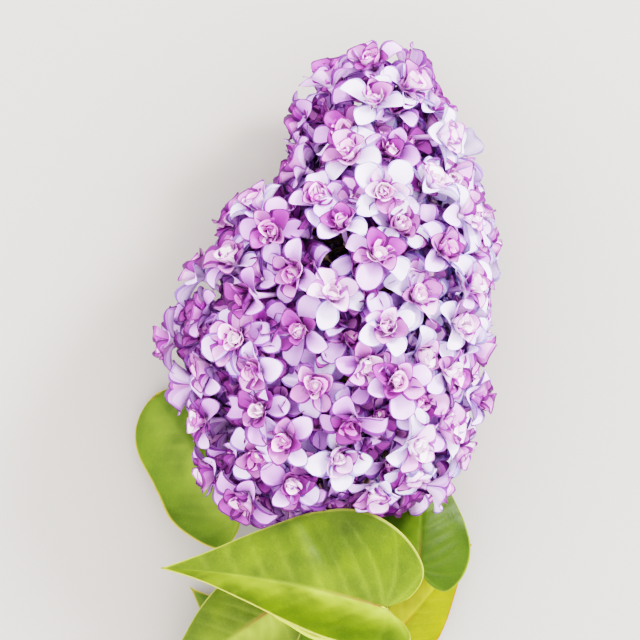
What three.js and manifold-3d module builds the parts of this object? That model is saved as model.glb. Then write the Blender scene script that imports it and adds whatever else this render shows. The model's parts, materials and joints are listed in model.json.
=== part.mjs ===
// A cut sprig of double-flowered lilac that lies on a level surface: a short woody stem with
// three pairs of heart-shaped leaves, and one flower head on a tapering axis, the rachis.
// Millimetres. X is to the right, Y runs from the cut end to the tip of the flower head, Z is up.
// The flower head is divided as the real one is: opposite side branches along the rachis, each
// pair turned a quarter round from the last. Each branch with the florets it carries is one solid.
import * as THREE from "three";
import Module from "manifold-3d";

const wasm = await Module();
wasm.setup();

// ---- Driving dimensions ----
const CLEARANCE = 0.3; // between a limb and the limb that carries it

// Stem: its axis rises from the cut end, which lies on the floor, to the foot of the flower head.
const STEM_AXIS = [
  [22, -165, 3.72],
  [17, -142, 11],
  [14, -115.5, 26],
  [10.5, -85, 38],
  [11, -77, 40.5],
];
const LEAF_NODES = { lower: 1, middle: 2, upper: 3 }; // the points of the axis that carry leaves
const CUT_RADIUS = 3.9;
const STEM_TOP_RADIUS = 2.7;
const NODE_SWELLING = 0.7; // how far the stem thickens where a pair of leaves leaves it
const NODE_REACH = 0.05; // share of the stem over which that swelling fades
const STEM_RINGS = 24;
const STEM_SIDES = 10;

// Rachis and flower head. The head's axis goes on past the rachis's tip, inside the last florets.
const HEAD_AXIS = [
  [11, -76.6, 40.7],
  [7.7, -42, 45.5],
  [9.8, -7, 47],
  [15.4, 28, 47],
  [21, 59.5, 44],
  [25.5, 91, 40],
];
const RACHIS_END = 0.9; // share of the head's axis that the rachis runs along
const RACHIS_RADIUS = 2.3;
const RACHIS_TIP_RADIUS = 0.8;
const RACHIS_RINGS = 14;
const RACHIS_SIDES = 8;

// How far the florets stand from the axis: share of its length, then right, left, front, back.
const HEAD_PROFILE = [
  [0.0, 10, 12, 8, 12],
  [0.06, 27, 30, 15, 26],
  [0.13, 38, 45, 27, 38],
  [0.22, 41, 48, 37, 42],
  [0.31, 44, 55, 43, 43],
  [0.38, 45, 63, 45, 43],
  [0.47, 45, 52, 45, 43],
  [0.58, 43, 44, 43, 43],
  [0.64, 41, 41, 39, 41],
  [0.7, 38, 26, 36, 36],
  [0.77, 31, 26, 31, 30],
  [0.86, 22, 31, 23, 22],
  [0.95, 13, 20, 14, 14],
  [1.0, 6, 9, 6, 5],
];
const BRANCH_PAIRS = 9;
const FIRST_PAIR = 0.1; // share of the axis where the lowest pair's florets have their middle
const LAST_PAIR = 0.84; // and the highest pair's
const FIRST_PAIR_TURN = 80; // degrees round the axis from the right hand side, over the front
const BRANCH_RISE = 0.07; // share of the axis from a branch's foot to the middle of its florets
const BRANCH_RADIUS = 1.3;
const BRANCH_TIP_RADIUS = 0.9;
const BRANCH_SIDES = 4;
const BRANCH_ROOM = 15; // depth between a branch's tip and the middles of its florets
const BRANCH_SHORTEST = 4;
const LOWEST_FOOT = 0.02; // no branch leaves the rachis below this share of the axis
const TIP_BRANCH = 0.04; // share of the axis that the last branch runs on from the rachis
const TIP_PULL = 1.6; // above 1, the last branch carries fewer of the florets near the tip

// Florets: a slim tube that opens into two whorls of four petals round a closed heart.
const FLORETS = 138;
const SEED = 20873;
const TURN = 137.508; // degrees from one floret to the next round the head
const DEPTHS = [0, -5.5, -2.5]; // florets lie in three layers, so that neighbours overlap
const LOOSE = { share: 0.008, turn: 6, depth: 1, lean: 0.45, size: 0.08, cup: 14 }; // chance, either way
const MEAN_CUP = -2; // degrees that the outer petals rise from flat
const PETAL_REACH = 12.4; // from the floret's middle to the tip of an outer petal
const PETAL_DROOP = 1; // how far that tip turns back
const SHOULDER = 9.8; // to the widest place on each side of a petal's end
const SHOULDER_TURN = 25; // degrees from the petal's middle to that place
const NOTCH = 5; // to the notch between two petals
const NECK = { reach: 3, height: 1.3 }; // between the two whorls
const INNER_NOTCH = { reach: 4, height: 3.3 };
const INNER_TIP = { reach: 7.6, height: 5.2 };
const HEART_HEIGHT = 5;
const THROAT = 2.4; // from the top of the tube to the middle of the petals
const TUBE_LENGTH = 8;
const TUBE_SHARE = 0.35; // the tube's length is at most this share of the head's radius there
const TUBE_RADIUS = 1.1;
const STALK_RADIUS = 0.8;
const STALK_SLANT = 0.6; // how far back along the branch a stalk starts, for its distance aside
const STALK_FIRST = 0.3; // share of the branch that stays bare of stalks
const SIZES = [1, 0.92, 0.84, 0.76, 0.68]; // a crowded floret is smaller, or left out
const MINGLING = 0.85; // below this size a floret may grow into one of its own branch
const GUARD = 1.06; // how much larger than itself the space round a floret is
const STALK_GUARD = 6; // how much a stalk widens with that space

// Leaves: heart-shaped. The margin of one half: along the midrib and out from it, in blade lengths.
const WIDEST = 0.385;
const LEAF_MARGIN = [
  [0, 0],
  [-0.11, 0.09],
  [-0.14, 0.22],
  [-0.02, 0.34],
  [0.17, WIDEST],
  [0.38, 0.325],
  [0.6, 0.205],
  [0.82, 0.08],
  [1, 0],
];
const LEAF_THICKNESS = 1;
const LEAF_STATIONS = 11;
const LEAF_COLUMNS = [-1, -0.5, 0, 0.5, 1];
const LEAF_POINT = 0.6; // half of the width that is left at the tip and at the notch
const WAVES = 9; // turns of the margin's wave, in radians from the notch to the tip
const PETIOLE_RADIUS = 1.15;
const PETIOLE_SIDES = 5;
const PETIOLE_TAPER = [1.35, 1, 1, 0.35]; // at the stem, the elbow, the blade's notch and the end
const PETIOLE_ELBOW = 0.4; // share of the stalk's length that runs straight out from the stem
const PETIOLE_END = 0.12; // share of the blade that the stalk runs on into
// Each leaf: the stem's node that carries it, the notch and tip of its blade, the rise of its arch,
// its width and how blunt it is against the common outline, how far each half folds down from
// level in degrees, and the height of its wave.
const LEAVES = [
  { name: "front_leaf", at: "middle", base: [22.4, -100.8, 60], tip: [-56, -87.5, 52],
    arch: 4, width: 1, blunt: 0, folds: [-64, 4], wave: 0.8 },
  { name: "left_leaf", at: "upper", base: [-27, -71, 20], tip: [-64, -26, 3.5],
    arch: 5, width: 1, blunt: 0.8, folds: [6, 12], wave: 2.2 },
  { name: "right_leaf", at: "upper", base: [35.7, -89.5, 27], tip: [39, -45, 9],
    arch: 4, width: 1.02, blunt: 0, folds: [8, 12], wave: 0.8 },
  { name: "under_leaf", at: "middle", base: [-19, -106, 22], tip: [-62, -136, 13],
    arch: 3, width: 0.9, blunt: 0, folds: [14, 16], wave: 1 },
  { name: "lower_left_leaf", at: "lower", base: [-11, -134, 7], tip: [-48, -99, 2.5],
    arch: 2, width: 0.95, blunt: 0, folds: [2, 3], wave: 0.5 },
  { name: "lower_right_leaf", at: "lower", base: [27, -117, 7], tip: [56, -83, 2.5],
    arch: 2, width: 0.76, blunt: 0, folds: [2, 3], wave: 0.5 },
];

// ---- Materials ----
const paint = (color, roughness) =>
  new THREE.MeshStandardMaterial({ color, roughness, metalness: 0, flatShading: true });
const BARK = paint("#7d6a4f", 0.85);
const GREEN_STALK = paint("#8f9a55", 0.6);
const LEAF_GREEN = paint("#9cb838", 0.45);
const PETAL_LILAC = paint("#cfb2e4", 0.6);

// ---- Small tools ----
const UP = new THREE.Vector3(0, 0, 1);
const rad = (degrees) => (degrees * Math.PI) / 180;
const mix = (a, b, t) => a + (b - a) * t;
const towards = (a, b) => new THREE.Vector3().subVectors(b, a).normalize();

// The same stream of numbers between 0 and 1 each time, from one seed.
function seeded(seed) {
  let state = seed >>> 0;
  return () => {
    state = (Math.imul(state, 1664525) + 1013904223) >>> 0;
    return state / 4294967296;
  };
}

// A point on the smooth path through a list of points, for t from 0 to 1.
function along(points, t) {
  const spans = points.length - 1;
  const i = Math.min(spans - 1, Math.max(0, Math.floor(t * spans)));
  const f = t * spans - i;
  const at = (k) => points[Math.min(spans, Math.max(0, k))];
  return points[0].map((_, c) => {
    const leaving = (at(i + 1)[c] - at(i - 1)[c]) / 2;
    const arriving = (at(i + 2)[c] - at(i)[c]) / 2;
    const rise = at(i + 1)[c] - at(i)[c];
    const bend = 3 * rise - 2 * leaving - arriving;
    return at(i)[c] + f * (leaving + f * (bend + f * (leaving + arriving - 2 * rise)));
  });
}

const pathPoint = (points, t) => new THREE.Vector3(...along(points, t));
const pathDirection = (points, t) =>
  towards(pathPoint(points, t - 0.01), pathPoint(points, t + 0.01));

// A frame on a direction: the level way to its right, the way above it, and itself.
function frameOn(forward) {
  const right = new THREE.Vector3().crossVectors(forward, UP).normalize();
  return [right, new THREE.Vector3().crossVectors(right, forward), forward];
}

// The frame turned as little as possible so that its third direction is `forward`.
function turnedTo(frame, forward) {
  const turn = new THREE.Quaternion().setFromUnitVectors(frame[2], forward);
  return frame.map((v) => v.clone().applyQuaternion(turn));
}

// A ring of points round `centre`. Each is given as [degrees, radius, height] in a frame.
const ring = (centre, [a, b, n], polar) =>
  polar.map(([angle, radius, height = 0]) => ({
    angle,
    point: centre.clone()
      .addScaledVector(a, radius * Math.cos(rad(angle)))
      .addScaledVector(b, radius * Math.sin(rad(angle)))
      .addScaledVector(n, height),
  }));

const evenRing = (sides, radius) =>
  Array.from({ length: sides }, (_, i) => [(360 * i) / sides, radius]);

// A solid from its points and triangles, turned so that its faces point out.
function solid(points, faces) {
  const normal = new THREE.Vector3();
  const volume = faces.reduce(
    (sum, [i, j, k]) => sum + points[i].dot(normal.crossVectors(points[j], points[k])), 0);
  const outward = volume < 0 ? faces.map(([i, j, k]) => [i, k, j]) : faces;
  return new wasm.Manifold(new wasm.Mesh({
    numProp: 3,
    vertProperties: new Float32Array(points.flatMap((p) => [p.x, p.y, p.z])),
    triVerts: new Uint32Array(outward.flat()),
  }));
}

// The solid that runs from ring to ring, with a fan of triangles over each end. Where two rings
// differ in count, the next triangle takes whichever side has its middle first round the ring.
// The last ring may be a single point.
function loft(rings) {
  const faces = [];
  let start = 0;
  const fan = (first, count) =>
    Array.from({ length: Math.max(0, count - 2) }, (_, i) => [first, first + i + 1, first + i + 2]);
  for (let k = 0; k + 1 < rings.length; k++) {
    const [low, high] = [rings[k], rings[k + 1]];
    const next = start + low.length;
    const angle = (list, i) => list[i % list.length].angle + (i < list.length ? 0 : 360);
    const middle = (list, i) => (i < list.length ? angle(list, i) + angle(list, i + 1) : Infinity);
    let [i, j] = [0, high.length === 1 ? 1 : 0];
    while (i < low.length || j < high.length) {
      const [from, to] = [start + (i % low.length), next + (j % high.length)];
      if (middle(low, i) < middle(high, j)) {
        i += 1;
        faces.push([from, start + (i % low.length), to]);
      } else {
        j += 1;
        faces.push([from, next + (j % high.length), to]);
      }
    }
    start = next;
  }
  const bottom = fan(0, rings[0].length).map(([i, j, k]) => [i, k, j]);
  const top = fan(start, rings.at(-1).length);
  return solid(rings.flat().map((p) => p.point), [...faces, ...bottom, ...top]);
}

// Joined solids. A scrap that hangs loose or a hollow that the joining seals is left out.
function joined(solids) {
  const bodies = solids.reduce((sum, s) => sum.add(s)).decompose();
  return bodies.reduce((largest, b) => (b.volume() > largest.volume() ? b : largest));
}

// Whether two solids share some space. Their boxes are compared first, as most lie far apart.
function meet(a, b) {
  const [p, q] = [a.boundingBox(), b.boundingBox()];
  const boxesMeet = [0, 1, 2].every((c) => p.min[c] < q.max[c] && q.min[c] < p.max[c]);
  return boxesMeet && a.intersect(b).volume() > 0;
}

// ---- Stem ----
function stemRadius(t) {
  const swelling = Object.values(LEAF_NODES)
    .map((k) => Math.exp(-(((t - k / (STEM_AXIS.length - 1)) / NODE_REACH) ** 2)))
    .reduce((a, b) => a + b);
  return mix(CUT_RADIUS, STEM_TOP_RADIUS, t) + NODE_SWELLING * swelling;
}

function stem() {
  const rings = Array.from({ length: STEM_RINGS }, (_, i) => {
    const t = i / (STEM_RINGS - 1);
    const frame = frameOn(pathDirection(STEM_AXIS, t));
    return ring(pathPoint(STEM_AXIS, t), frame, evenRing(STEM_SIDES, stemRadius(t)));
  });
  return loft(rings);
}

// ---- Rachis ----
const rachisRadius = (u) => mix(RACHIS_RADIUS, RACHIS_TIP_RADIUS, u / RACHIS_END);

function rachis() {
  const rings = Array.from({ length: RACHIS_RINGS }, (_, i) => {
    const u = (RACHIS_END * i) / (RACHIS_RINGS - 1);
    const frame = frameOn(pathDirection(HEAD_AXIS, u));
    return ring(pathPoint(HEAD_AXIS, u), frame, evenRing(RACHIS_SIDES, rachisRadius(u)));
  });
  return loft(rings);
}

// ---- Shape of the flower head ----
// The profile's row at a share u of the axis, between the rows of the table.
function profileAt(u) {
  const k = Math.max(1, HEAD_PROFILE.findIndex((row) => row[0] >= u));
  const [before, after] = [HEAD_PROFILE[k - 1], HEAD_PROFILE[k]];
  const t = Math.max(0, (u - before[0]) / (after[0] - before[0]));
  return before.map((value, c) => mix(value, after[c], t)).slice(1);
}

// Distance from the axis to the florets, at a share u of it and an angle from the right, over the front.
function headRadius(u, degrees) {
  const [right, left, front, back] = profileAt(u);
  const [c, s] = [Math.cos(rad(degrees)), Math.sin(rad(degrees))];
  return (c > 0 ? right : left) * c * c + (s > 0 ? front : back) * s * s;
}

function headPoint(u, degrees, share = 1) {
  const [right, above] = frameOn(pathDirection(HEAD_AXIS, u));
  const radius = headRadius(u, degrees) * share;
  return pathPoint(HEAD_AXIS, u)
    .addScaledVector(right, radius * Math.cos(rad(degrees)))
    .addScaledVector(above, radius * Math.sin(rad(degrees)));
}

// The way that the head's surface faces there, from two short steps along it.
function headNormal(u, degrees) {
  const low = Math.max(0, u - 0.03);
  const high = Math.min(1, u + 0.03);
  const lengthwise = headPoint(high, degrees).sub(headPoint(low, degrees));
  const round = headPoint(u, degrees + 6).sub(headPoint(u, degrees - 6));
  const out = headPoint(u, degrees).sub(pathPoint(HEAD_AXIS, u));
  const normal = new THREE.Vector3().crossVectors(lengthwise, round).normalize();
  return normal.dot(out) < 0 ? normal.negate() : normal;
}

// Shares of the axis that divide the head's surface evenly between the florets.
function evenShares(count) {
  const STEPS = 200;
  const girth = (u) => profileAt(u).reduce((a, b) => a + b);
  const sums = [0];
  for (let i = 0; i < STEPS; i++) sums.push(sums[i] + girth((i + 0.5) / STEPS));
  return Array.from({ length: count }, (_, i) => {
    const wanted = ((i + 0.5) / count) * sums[STEPS];
    const k = sums.findIndex((sum) => sum >= wanted) - 1;
    return (k + (wanted - sums[k]) / (sums[k + 1] - sums[k])) / STEPS;
  });
}

// ---- Florets ----
// Where each floret sits, which way it faces and how it is turned: by a rule, from one seed.
function floretPlaces() {
  const random = seeded(SEED);
  const spread = (amount) => (random() - 0.5) * 2 * amount;
  return evenShares(FLORETS).map((share, i) => {
    const u = Math.min(1, Math.max(0, share + spread(LOOSE.share)));
    const degrees = i * TURN + spread(LOOSE.turn);
    const depth = DEPTHS[i % DEPTHS.length] + spread(LOOSE.depth);
    const outward = headNormal(u, degrees);
    const lean = new THREE.Vector3(spread(LOOSE.lean), spread(LOOSE.lean), spread(LOOSE.lean));
    const facing = outward.clone().add(lean).normalize();
    const middle = headPoint(u, degrees).addScaledVector(outward, depth);
    const frame = spun(facing, random() * 90);
    const size = 1 + spread(LOOSE.size);
    const cup = MEAN_CUP + spread(LOOSE.cup);
    const tube = Math.min(TUBE_LENGTH, headRadius(u, degrees) * TUBE_SHARE);
    return { u, degrees, depth, middle, frame, size, cup, tube };
  });
}

// A frame that faces one way, turned by some degrees about it.
function spun(facing, degrees) {
  const level = Math.abs(facing.z) > 0.95 ? new THREE.Vector3(0, 1, 0) : UP;
  const a = new THREE.Vector3().crossVectors(facing, level).normalize();
  const b = new THREE.Vector3().crossVectors(facing, a);
  const first = a.multiplyScalar(Math.cos(rad(degrees))).addScaledVector(b, Math.sin(rad(degrees)));
  return [first, new THREE.Vector3().crossVectors(facing, first), facing];
}

// The rings of one flower, from the throat of its tube over both whorls to the heart.
function flowerRings({ middle, frame, size, cup }, guard = 1) {
  const scale = size * guard;
  const quarters = (petal) => ring(middle, frame, [0, 90, 180, 270].flatMap(petal));
  const spreading = (degrees, reach, droop = 0) =>
    [degrees, reach * scale, reach * scale * Math.sin(rad(cup)) - droop];
  const standing = (degrees, { reach, height }) => [degrees, reach * scale, height * scale];
  return [
    ring(middle, frame, slim(TUBE_RADIUS * guard, -THROAT * size)),
    quarters((k) => [
      spreading(k - 45, NOTCH),
      spreading(k - SHOULDER_TURN, SHOULDER),
      spreading(k, PETAL_REACH, PETAL_DROOP),
      spreading(k + SHOULDER_TURN, SHOULDER),
    ]),
    quarters((k) => [standing(k, NECK)]),
    quarters((k) => [standing(k, INNER_NOTCH), standing(k + 45, INNER_TIP)]),
    ring(middle, frame, [[0, 0, HEART_HEIGHT * scale]]),
  ];
}

// A three-sided ring for a stalk or a tube.
const slim = (radius, height = 0) => [-45, 75, 195].map((angle) => [angle, radius, height]);

// One floret on its stalk, which leaves its branch at `from` and bends into the floret's tube.
function floret(place, from, guard = 1) {
  const { middle, frame, size, tube } = place;
  const tubeFoot = middle.clone().addScaledVector(frame[2], -THROAT * size - tube);
  const start = turnedTo(frame, towards(from, tubeFoot));
  const bend = turnedTo(frame, start[2].clone().add(frame[2]).normalize());
  const round = slim(STALK_RADIUS + (guard - 1) * STALK_GUARD);
  return loft([ring(from, start, round), ring(tubeFoot, bend, round), ...flowerRings(place, guard)]);
}

// The floret lifted off the floor, where it would reach below it.
function settled(place) {
  const heights = flowerRings(place).flat().map((p) => p.point.z);
  const lift = Math.max(0, -Math.min(...heights));
  return { ...place, middle: place.middle.clone().setZ(place.middle.z + lift) };
}

// ---- Side branches ----
// The foot of each branch on the rachis, its tip, and the middle of the florets that it carries.
function branches() {
  const list = [];
  for (let pair = 0; pair < BRANCH_PAIRS; pair++)
    for (const side of [0, 180]) {
      const u = mix(FIRST_PAIR, LAST_PAIR, pair / (BRANCH_PAIRS - 1));
      const degrees = FIRST_PAIR_TURN + 90 * pair + side;
      const footShare = Math.max(LOWEST_FOOT, u - BRANCH_RISE);
      const axis = pathPoint(HEAD_AXIS, footShare);
      const onward = pathDirection(HEAD_AXIS, footShare);
      const out = headPoint(footShare, degrees).sub(axis).normalize();
      const sideways = new THREE.Vector3().crossVectors(out, onward);
      const foot = axis.addScaledVector(out, rachisRadius(footShare) + CLEARANCE);
      const far = headPoint(u, degrees);
      const reach = Math.max(BRANCH_SHORTEST, far.distanceTo(foot) - BRANCH_ROOM);
      const tip = foot.clone().addScaledVector(towards(foot, far), reach);
      const name = `branch_${String(list.length + 1).padStart(2, "0")}`;
      list.push({ name, u, degrees, foot, tip, frame: [onward, sideways, out] });
    }
  const foot = pathPoint(HEAD_AXIS, RACHIS_END)
    .addScaledVector(pathDirection(HEAD_AXIS, RACHIS_END), CLEARANCE);
  const frame = frameOn(pathDirection(HEAD_AXIS, RACHIS_END));
  const tip = pathPoint(HEAD_AXIS, RACHIS_END + TIP_BRANCH);
  list.push({ name: "tip_branch", u: 1, foot, tip, frame, radius: RACHIS_TIP_RADIUS });
  return list;
}

// The branch that a floret belongs to: the nearest over the head's surface.
function ownBranch({ u, degrees }, list) {
  const length = pathPoint(HEAD_AXIS, 0).distanceTo(pathPoint(HEAD_AXIS, 1));
  const distance = (branch) => {
    const onward = (u - branch.u) * length;
    if (branch.degrees === undefined) return Math.abs(onward) * TIP_PULL;
    const turn = ((((degrees - branch.degrees) % 360) + 540) % 360) - 180;
    return Math.hypot(onward, rad(turn) * headRadius(u, degrees));
  };
  return list.reduce((best, branch) => (distance(branch) < distance(best) ? branch : best));
}

function branchLimb({ foot, tip, frame, radius = BRANCH_RADIUS }) {
  const forward = turnedTo(frame, towards(foot, tip));
  return loft([
    ring(foot, frame, evenRing(BRANCH_SIDES, radius)),
    ring(tip, forward, evenRing(BRANCH_SIDES, Math.min(radius, BRANCH_TIP_RADIUS))),
  ]);
}

// Where on its branch a floret's stalk begins, so that it leaves at a slant.
function stalkStart(place, { foot, tip }) {
  const tubeFoot = place.middle.clone().addScaledVector(place.frame[2], -THROAT - place.tube);
  const direction = towards(foot, tip);
  const offset = tubeFoot.clone().sub(foot);
  const onward = offset.dot(direction);
  const aside = offset.addScaledVector(direction, -onward).length();
  const length = foot.distanceTo(tip);
  const start = Math.min(length, Math.max(length * STALK_FIRST, onward - aside * STALK_SLANT));
  return foot.clone().addScaledVector(direction, start);
}

// Every branch with its florets. The outermost take their places first. A floret that meets
// another branch, the rachis, the stem or a leaf is tried smaller, then left out.
function flowerHead(obstacles) {
  const list = branches().map((branch) => ({ ...branch, limb: branchLimb(branch), flowers: [] }));
  const taken = obstacles.map((body) => ({ body }));
  for (const branch of list) {
    branch.bodies = [branch.limb];
    taken.push({ owner: branch, body: branch.limb });
  }
  const outermostFirst = floretPlaces().sort((a, b) => b.depth - a.depth);
  for (const wanted of outermostFirst) {
    const branch = ownBranch(wanted, list);
    const fits = (scale) => {
      const place = settled({ ...wanted, size: wanted.size * scale });
      const from = stalkStart(place, branch);
      const room = floret(place, from, GUARD);
      if (taken.some(({ owner, body }) => owner !== branch && meet(body, room))) return null;
      const flower = loft(flowerRings(place, GUARD));
      if (scale > MINGLING && branch.flowers.some((other) => meet(other, flower))) return null;
      branch.flowers.push(loft(flowerRings(place)));
      return floret(place, from);
    };
    for (const scale of SIZES) {
      const body = fits(scale);
      if (!body) continue;
      branch.bodies.push(body);
      taken.push({ owner: branch, body });
      break;
    }
  }
  return list.map(({ name, bodies }) => ({ name, body: joined(bodies) }));
}

// ---- Leaves ----
function leafFrame(leaf) {
  const notch = new THREE.Vector3(...leaf.base);
  const tip = new THREE.Vector3(...leaf.tip);
  return { notch, length: notch.distanceTo(tip), axes: frameOn(towards(notch, tip)) };
}

// A point of the midrib, `t` of the blade's length from its notch.
function midribPoint(leaf, t, depth = 0) {
  const { notch, length, axes: [, above, forward] } = leafFrame(leaf);
  const rise = 4 * leaf.arch * t * (1 - t);
  return notch.addScaledVector(forward, t * length).addScaledVector(above, rise - depth);
}

// A point of a blade: `share` runs round the margin from the notch to the tip, and `column` from
// the left margin, -1, over the midrib, 0, to the right margin, 1. The underside has a depth.
function bladePoint(leaf, share, column, depth) {
  const { length, axes: [right, above] } = leafFrame(leaf);
  const [edge, outline] = along(LEAF_MARGIN, share);
  const half = outline * (1 + 2 * leaf.blunt * share ** 3);
  const side = Math.sign(column);
  const out = Math.abs(column);
  const width = Math.max(LEAF_POINT, half * length * leaf.width) * out;
  const fold = side * rad(leaf.folds[column < 0 ? 0 : 1]);
  const level = right.clone().multiplyScalar(Math.cos(fold)).addScaledVector(above, -Math.sin(fold));
  const up = above.clone().multiplyScalar(Math.cos(fold)).addScaledVector(right, Math.sin(fold));
  const ripple = leaf.wave * Math.sin(share * WAVES + column * 2) * out * out * (half / WIDEST);
  return midribPoint(leaf, mix(share * share, edge, out))
    .addScaledVector(above, ripple)
    .addScaledVector(level, width * side)
    .addScaledVector(up, -depth);
}

function blade(leaf) {
  const points = [];
  const faces = [];
  const columns = LEAF_COLUMNS.length;
  for (const depth of [0, LEAF_THICKNESS])
    for (let i = 0; i < LEAF_STATIONS; i++)
      for (const column of LEAF_COLUMNS)
        points.push(bladePoint(leaf, i / (LEAF_STATIONS - 1), column, depth));
  const under = LEAF_STATIONS * columns;
  const at = (i, j) => i * columns + j;
  const quad = (a, b, c, d) => faces.push([a, b, c], [a, c, d]);
  for (let i = 0; i + 1 < LEAF_STATIONS; i++) {
    for (let j = 0; j + 1 < columns; j++) {
      quad(at(i, j), at(i, j + 1), at(i + 1, j + 1), at(i + 1, j));
      quad(under + at(i, j), under + at(i + 1, j), under + at(i + 1, j + 1), under + at(i, j + 1));
    }
    quad(at(i, 0), at(i + 1, 0), under + at(i + 1, 0), under + at(i, 0));
    const last = columns - 1;
    quad(at(i, last), under + at(i, last), under + at(i + 1, last), at(i + 1, last));
  }
  const end = LEAF_STATIONS - 1;
  for (let j = 0; j + 1 < columns; j++) {
    quad(at(0, j), under + at(0, j), under + at(0, j + 1), at(0, j + 1));
    quad(at(end, j), at(end, j + 1), under + at(end, j + 1), under + at(end, j));
  }
  return solid(points, faces);
}

// The leaf's stalk, from the stem's swollen node on into the blade, where it becomes the midrib.
function petiole(leaf) {
  const node = LEAF_NODES[leaf.at] / (STEM_AXIS.length - 1);
  const axis = pathPoint(STEM_AXIS, node);
  const onward = pathDirection(STEM_AXIS, node);
  const base = new THREE.Vector3(...leaf.base);
  const out = base.clone().sub(axis);
  out.addScaledVector(onward, -out.dot(onward)).normalize();
  const foot = axis.clone().addScaledVector(out, stemRadius(node) + CLEARANCE);
  const sideways = new THREE.Vector3().crossVectors(out, onward);
  const inBlade = (t) => midribPoint(leaf, t, LEAF_THICKNESS / 2);
  const elbow = foot.clone().addScaledVector(out, foot.distanceTo(base) * PETIOLE_ELBOW);
  const route = [foot, elbow, inBlade(0), inBlade(PETIOLE_END)];
  let frame = [onward, sideways, out];
  const rings = route.map((point, k) => {
    const before = route[Math.max(0, k - 1)];
    const after = route[Math.min(route.length - 1, k + 1)];
    if (k > 0) frame = turnedTo(frame, towards(before, after));
    return ring(point, frame, evenRing(PETIOLE_SIDES, PETIOLE_RADIUS * PETIOLE_TAPER[k]));
  });
  return loft(rings);
}

// ---- The sprig ----
const group = new THREE.Group();

function place(name, body, material) {
  const { vertProperties, triVerts } = body.getMesh();
  const geometry = new THREE.BufferGeometry();
  geometry.setAttribute("position", new THREE.BufferAttribute(vertProperties, 3));
  geometry.setIndex([...triVerts]);
  const mesh = new THREE.Mesh(geometry, material);
  mesh.name = name;
  group.add(mesh);
}

const stemBody = stem();
const rachisBody = rachis();
const leafBodies = LEAVES.map((leaf) => joined([blade(leaf), petiole(leaf)]));
place("stem", stemBody, BARK);
place("rachis", rachisBody, GREEN_STALK);
LEAVES.forEach((leaf, i) => place(leaf.name, leafBodies[i], LEAF_GREEN));
for (const branch of flowerHead([stemBody, rachisBody, ...leafBodies]))
  place(branch.name, branch.body, PETAL_LILAC);

// The sprig's own frame has its origin under the middle of its box, on the floor.
const box = new THREE.Box3().setFromObject(group);
const centre = box.getCenter(new THREE.Vector3());
group.position.set(-centre.x, -centre.y, -box.min.z);

export default group;
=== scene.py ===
# A cut sprig of double-flowered lilac that lies on a level surface, as it grows: a woody stem, three
# pairs of heart-shaped leaves, and a flower head of crossed side branches with stalked blossoms.
# Sizes are in millimetres in the sprig's own layout, with the cut end at the first point of the stem.
import json
import math
import bpy
import numpy as np
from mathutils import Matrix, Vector


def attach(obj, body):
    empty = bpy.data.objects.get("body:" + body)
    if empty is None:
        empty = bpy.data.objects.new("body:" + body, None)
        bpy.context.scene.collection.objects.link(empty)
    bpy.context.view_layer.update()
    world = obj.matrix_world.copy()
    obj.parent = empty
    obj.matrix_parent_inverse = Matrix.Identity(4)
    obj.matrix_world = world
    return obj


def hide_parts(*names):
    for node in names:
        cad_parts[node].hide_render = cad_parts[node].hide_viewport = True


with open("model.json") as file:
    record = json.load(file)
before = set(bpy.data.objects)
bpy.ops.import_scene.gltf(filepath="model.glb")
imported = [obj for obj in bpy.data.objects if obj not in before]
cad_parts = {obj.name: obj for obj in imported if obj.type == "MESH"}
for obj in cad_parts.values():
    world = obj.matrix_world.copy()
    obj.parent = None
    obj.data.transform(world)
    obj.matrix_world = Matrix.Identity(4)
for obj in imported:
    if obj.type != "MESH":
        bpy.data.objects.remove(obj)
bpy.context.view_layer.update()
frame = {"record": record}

# ---- Stem ----
# The twig's last growth of wood, cut across with secateurs. Its young bark is smooth, grey-brown and
# dotted with pale pores, and it swells where each pair of leaves grows.
STEM_AXIS = np.array([  # through the middle of the stem, from its cut end up
    [22, -165, 3.72],
    [17, -142, 11],
    [14, -115.5, 26],
    [10.5, -85, 38],
    [11, -77, 40.5],
])
LEAF_NODES = {"lower": 1, "middle": 2, "upper": 3}  # the points of the axis with a pair of leaves
CUT_RADIUS = 3.9
STEM_TOP_RADIUS = 2.7
NODE_SWELLING = 0.7
NODE_REACH = 0.05  # of a swelling, as a share of the stem
STEM_RINGS = 260
STEM_SIDES = 48
PORES = 90
PORE_HEIGHT = 0.16
PORE_HALF_LENGTH = (0.45, 0.95)
PORE_SLIMNESS = (0.45, 0.7)  # a pore's width as a share of its length
BARE_FOOT = 1.5  # above the cut, where there are no pores
RIDGES = [(0.05, 3, 0.11), (0.04, 8, -0.05)]  # how high, how many, and their twist in a millimetre
UP = np.array([0.0, 0.0, 1.0])
CUT_END = next(m for m in frame["record"]["mounts"] if m["name"] == "cut_end")
TO_FRAME = np.array(CUT_END["pos_m"]) * 1000 - STEM_AXIS[0]


def mix(a, b, t):
    return a + (b - a) * t


def unit(v):
    return v / np.linalg.norm(v, axis=-1, keepdims=True)


def along(points, t):
    """A point on the smooth path through a list of points, for t from 0 to 1."""
    spans = len(points) - 1
    i = min(spans - 1, max(0, math.floor(t * spans)))
    f = t * spans - i
    before, here, there, after = (points[min(spans, max(0, i + k))] for k in (-1, 0, 1, 2))
    leaving = (there - before) / 2
    arriving = (after - here) / 2
    rise = there - here
    bend = 3 * rise - 2 * leaving - arriving
    return here + f * (leaving + f * (bend + f * (leaving + arriving - 2 * rise)))


def direction(points, t):
    """The way that a path runs at t."""
    return unit(along(points, t + 0.01) - along(points, t - 0.01))


def frame_on(forward):
    """The level way to the right of a direction, the way above it, and itself."""
    right = unit(np.cross(forward, UP))
    return np.array([right, np.cross(right, forward), forward])


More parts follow.
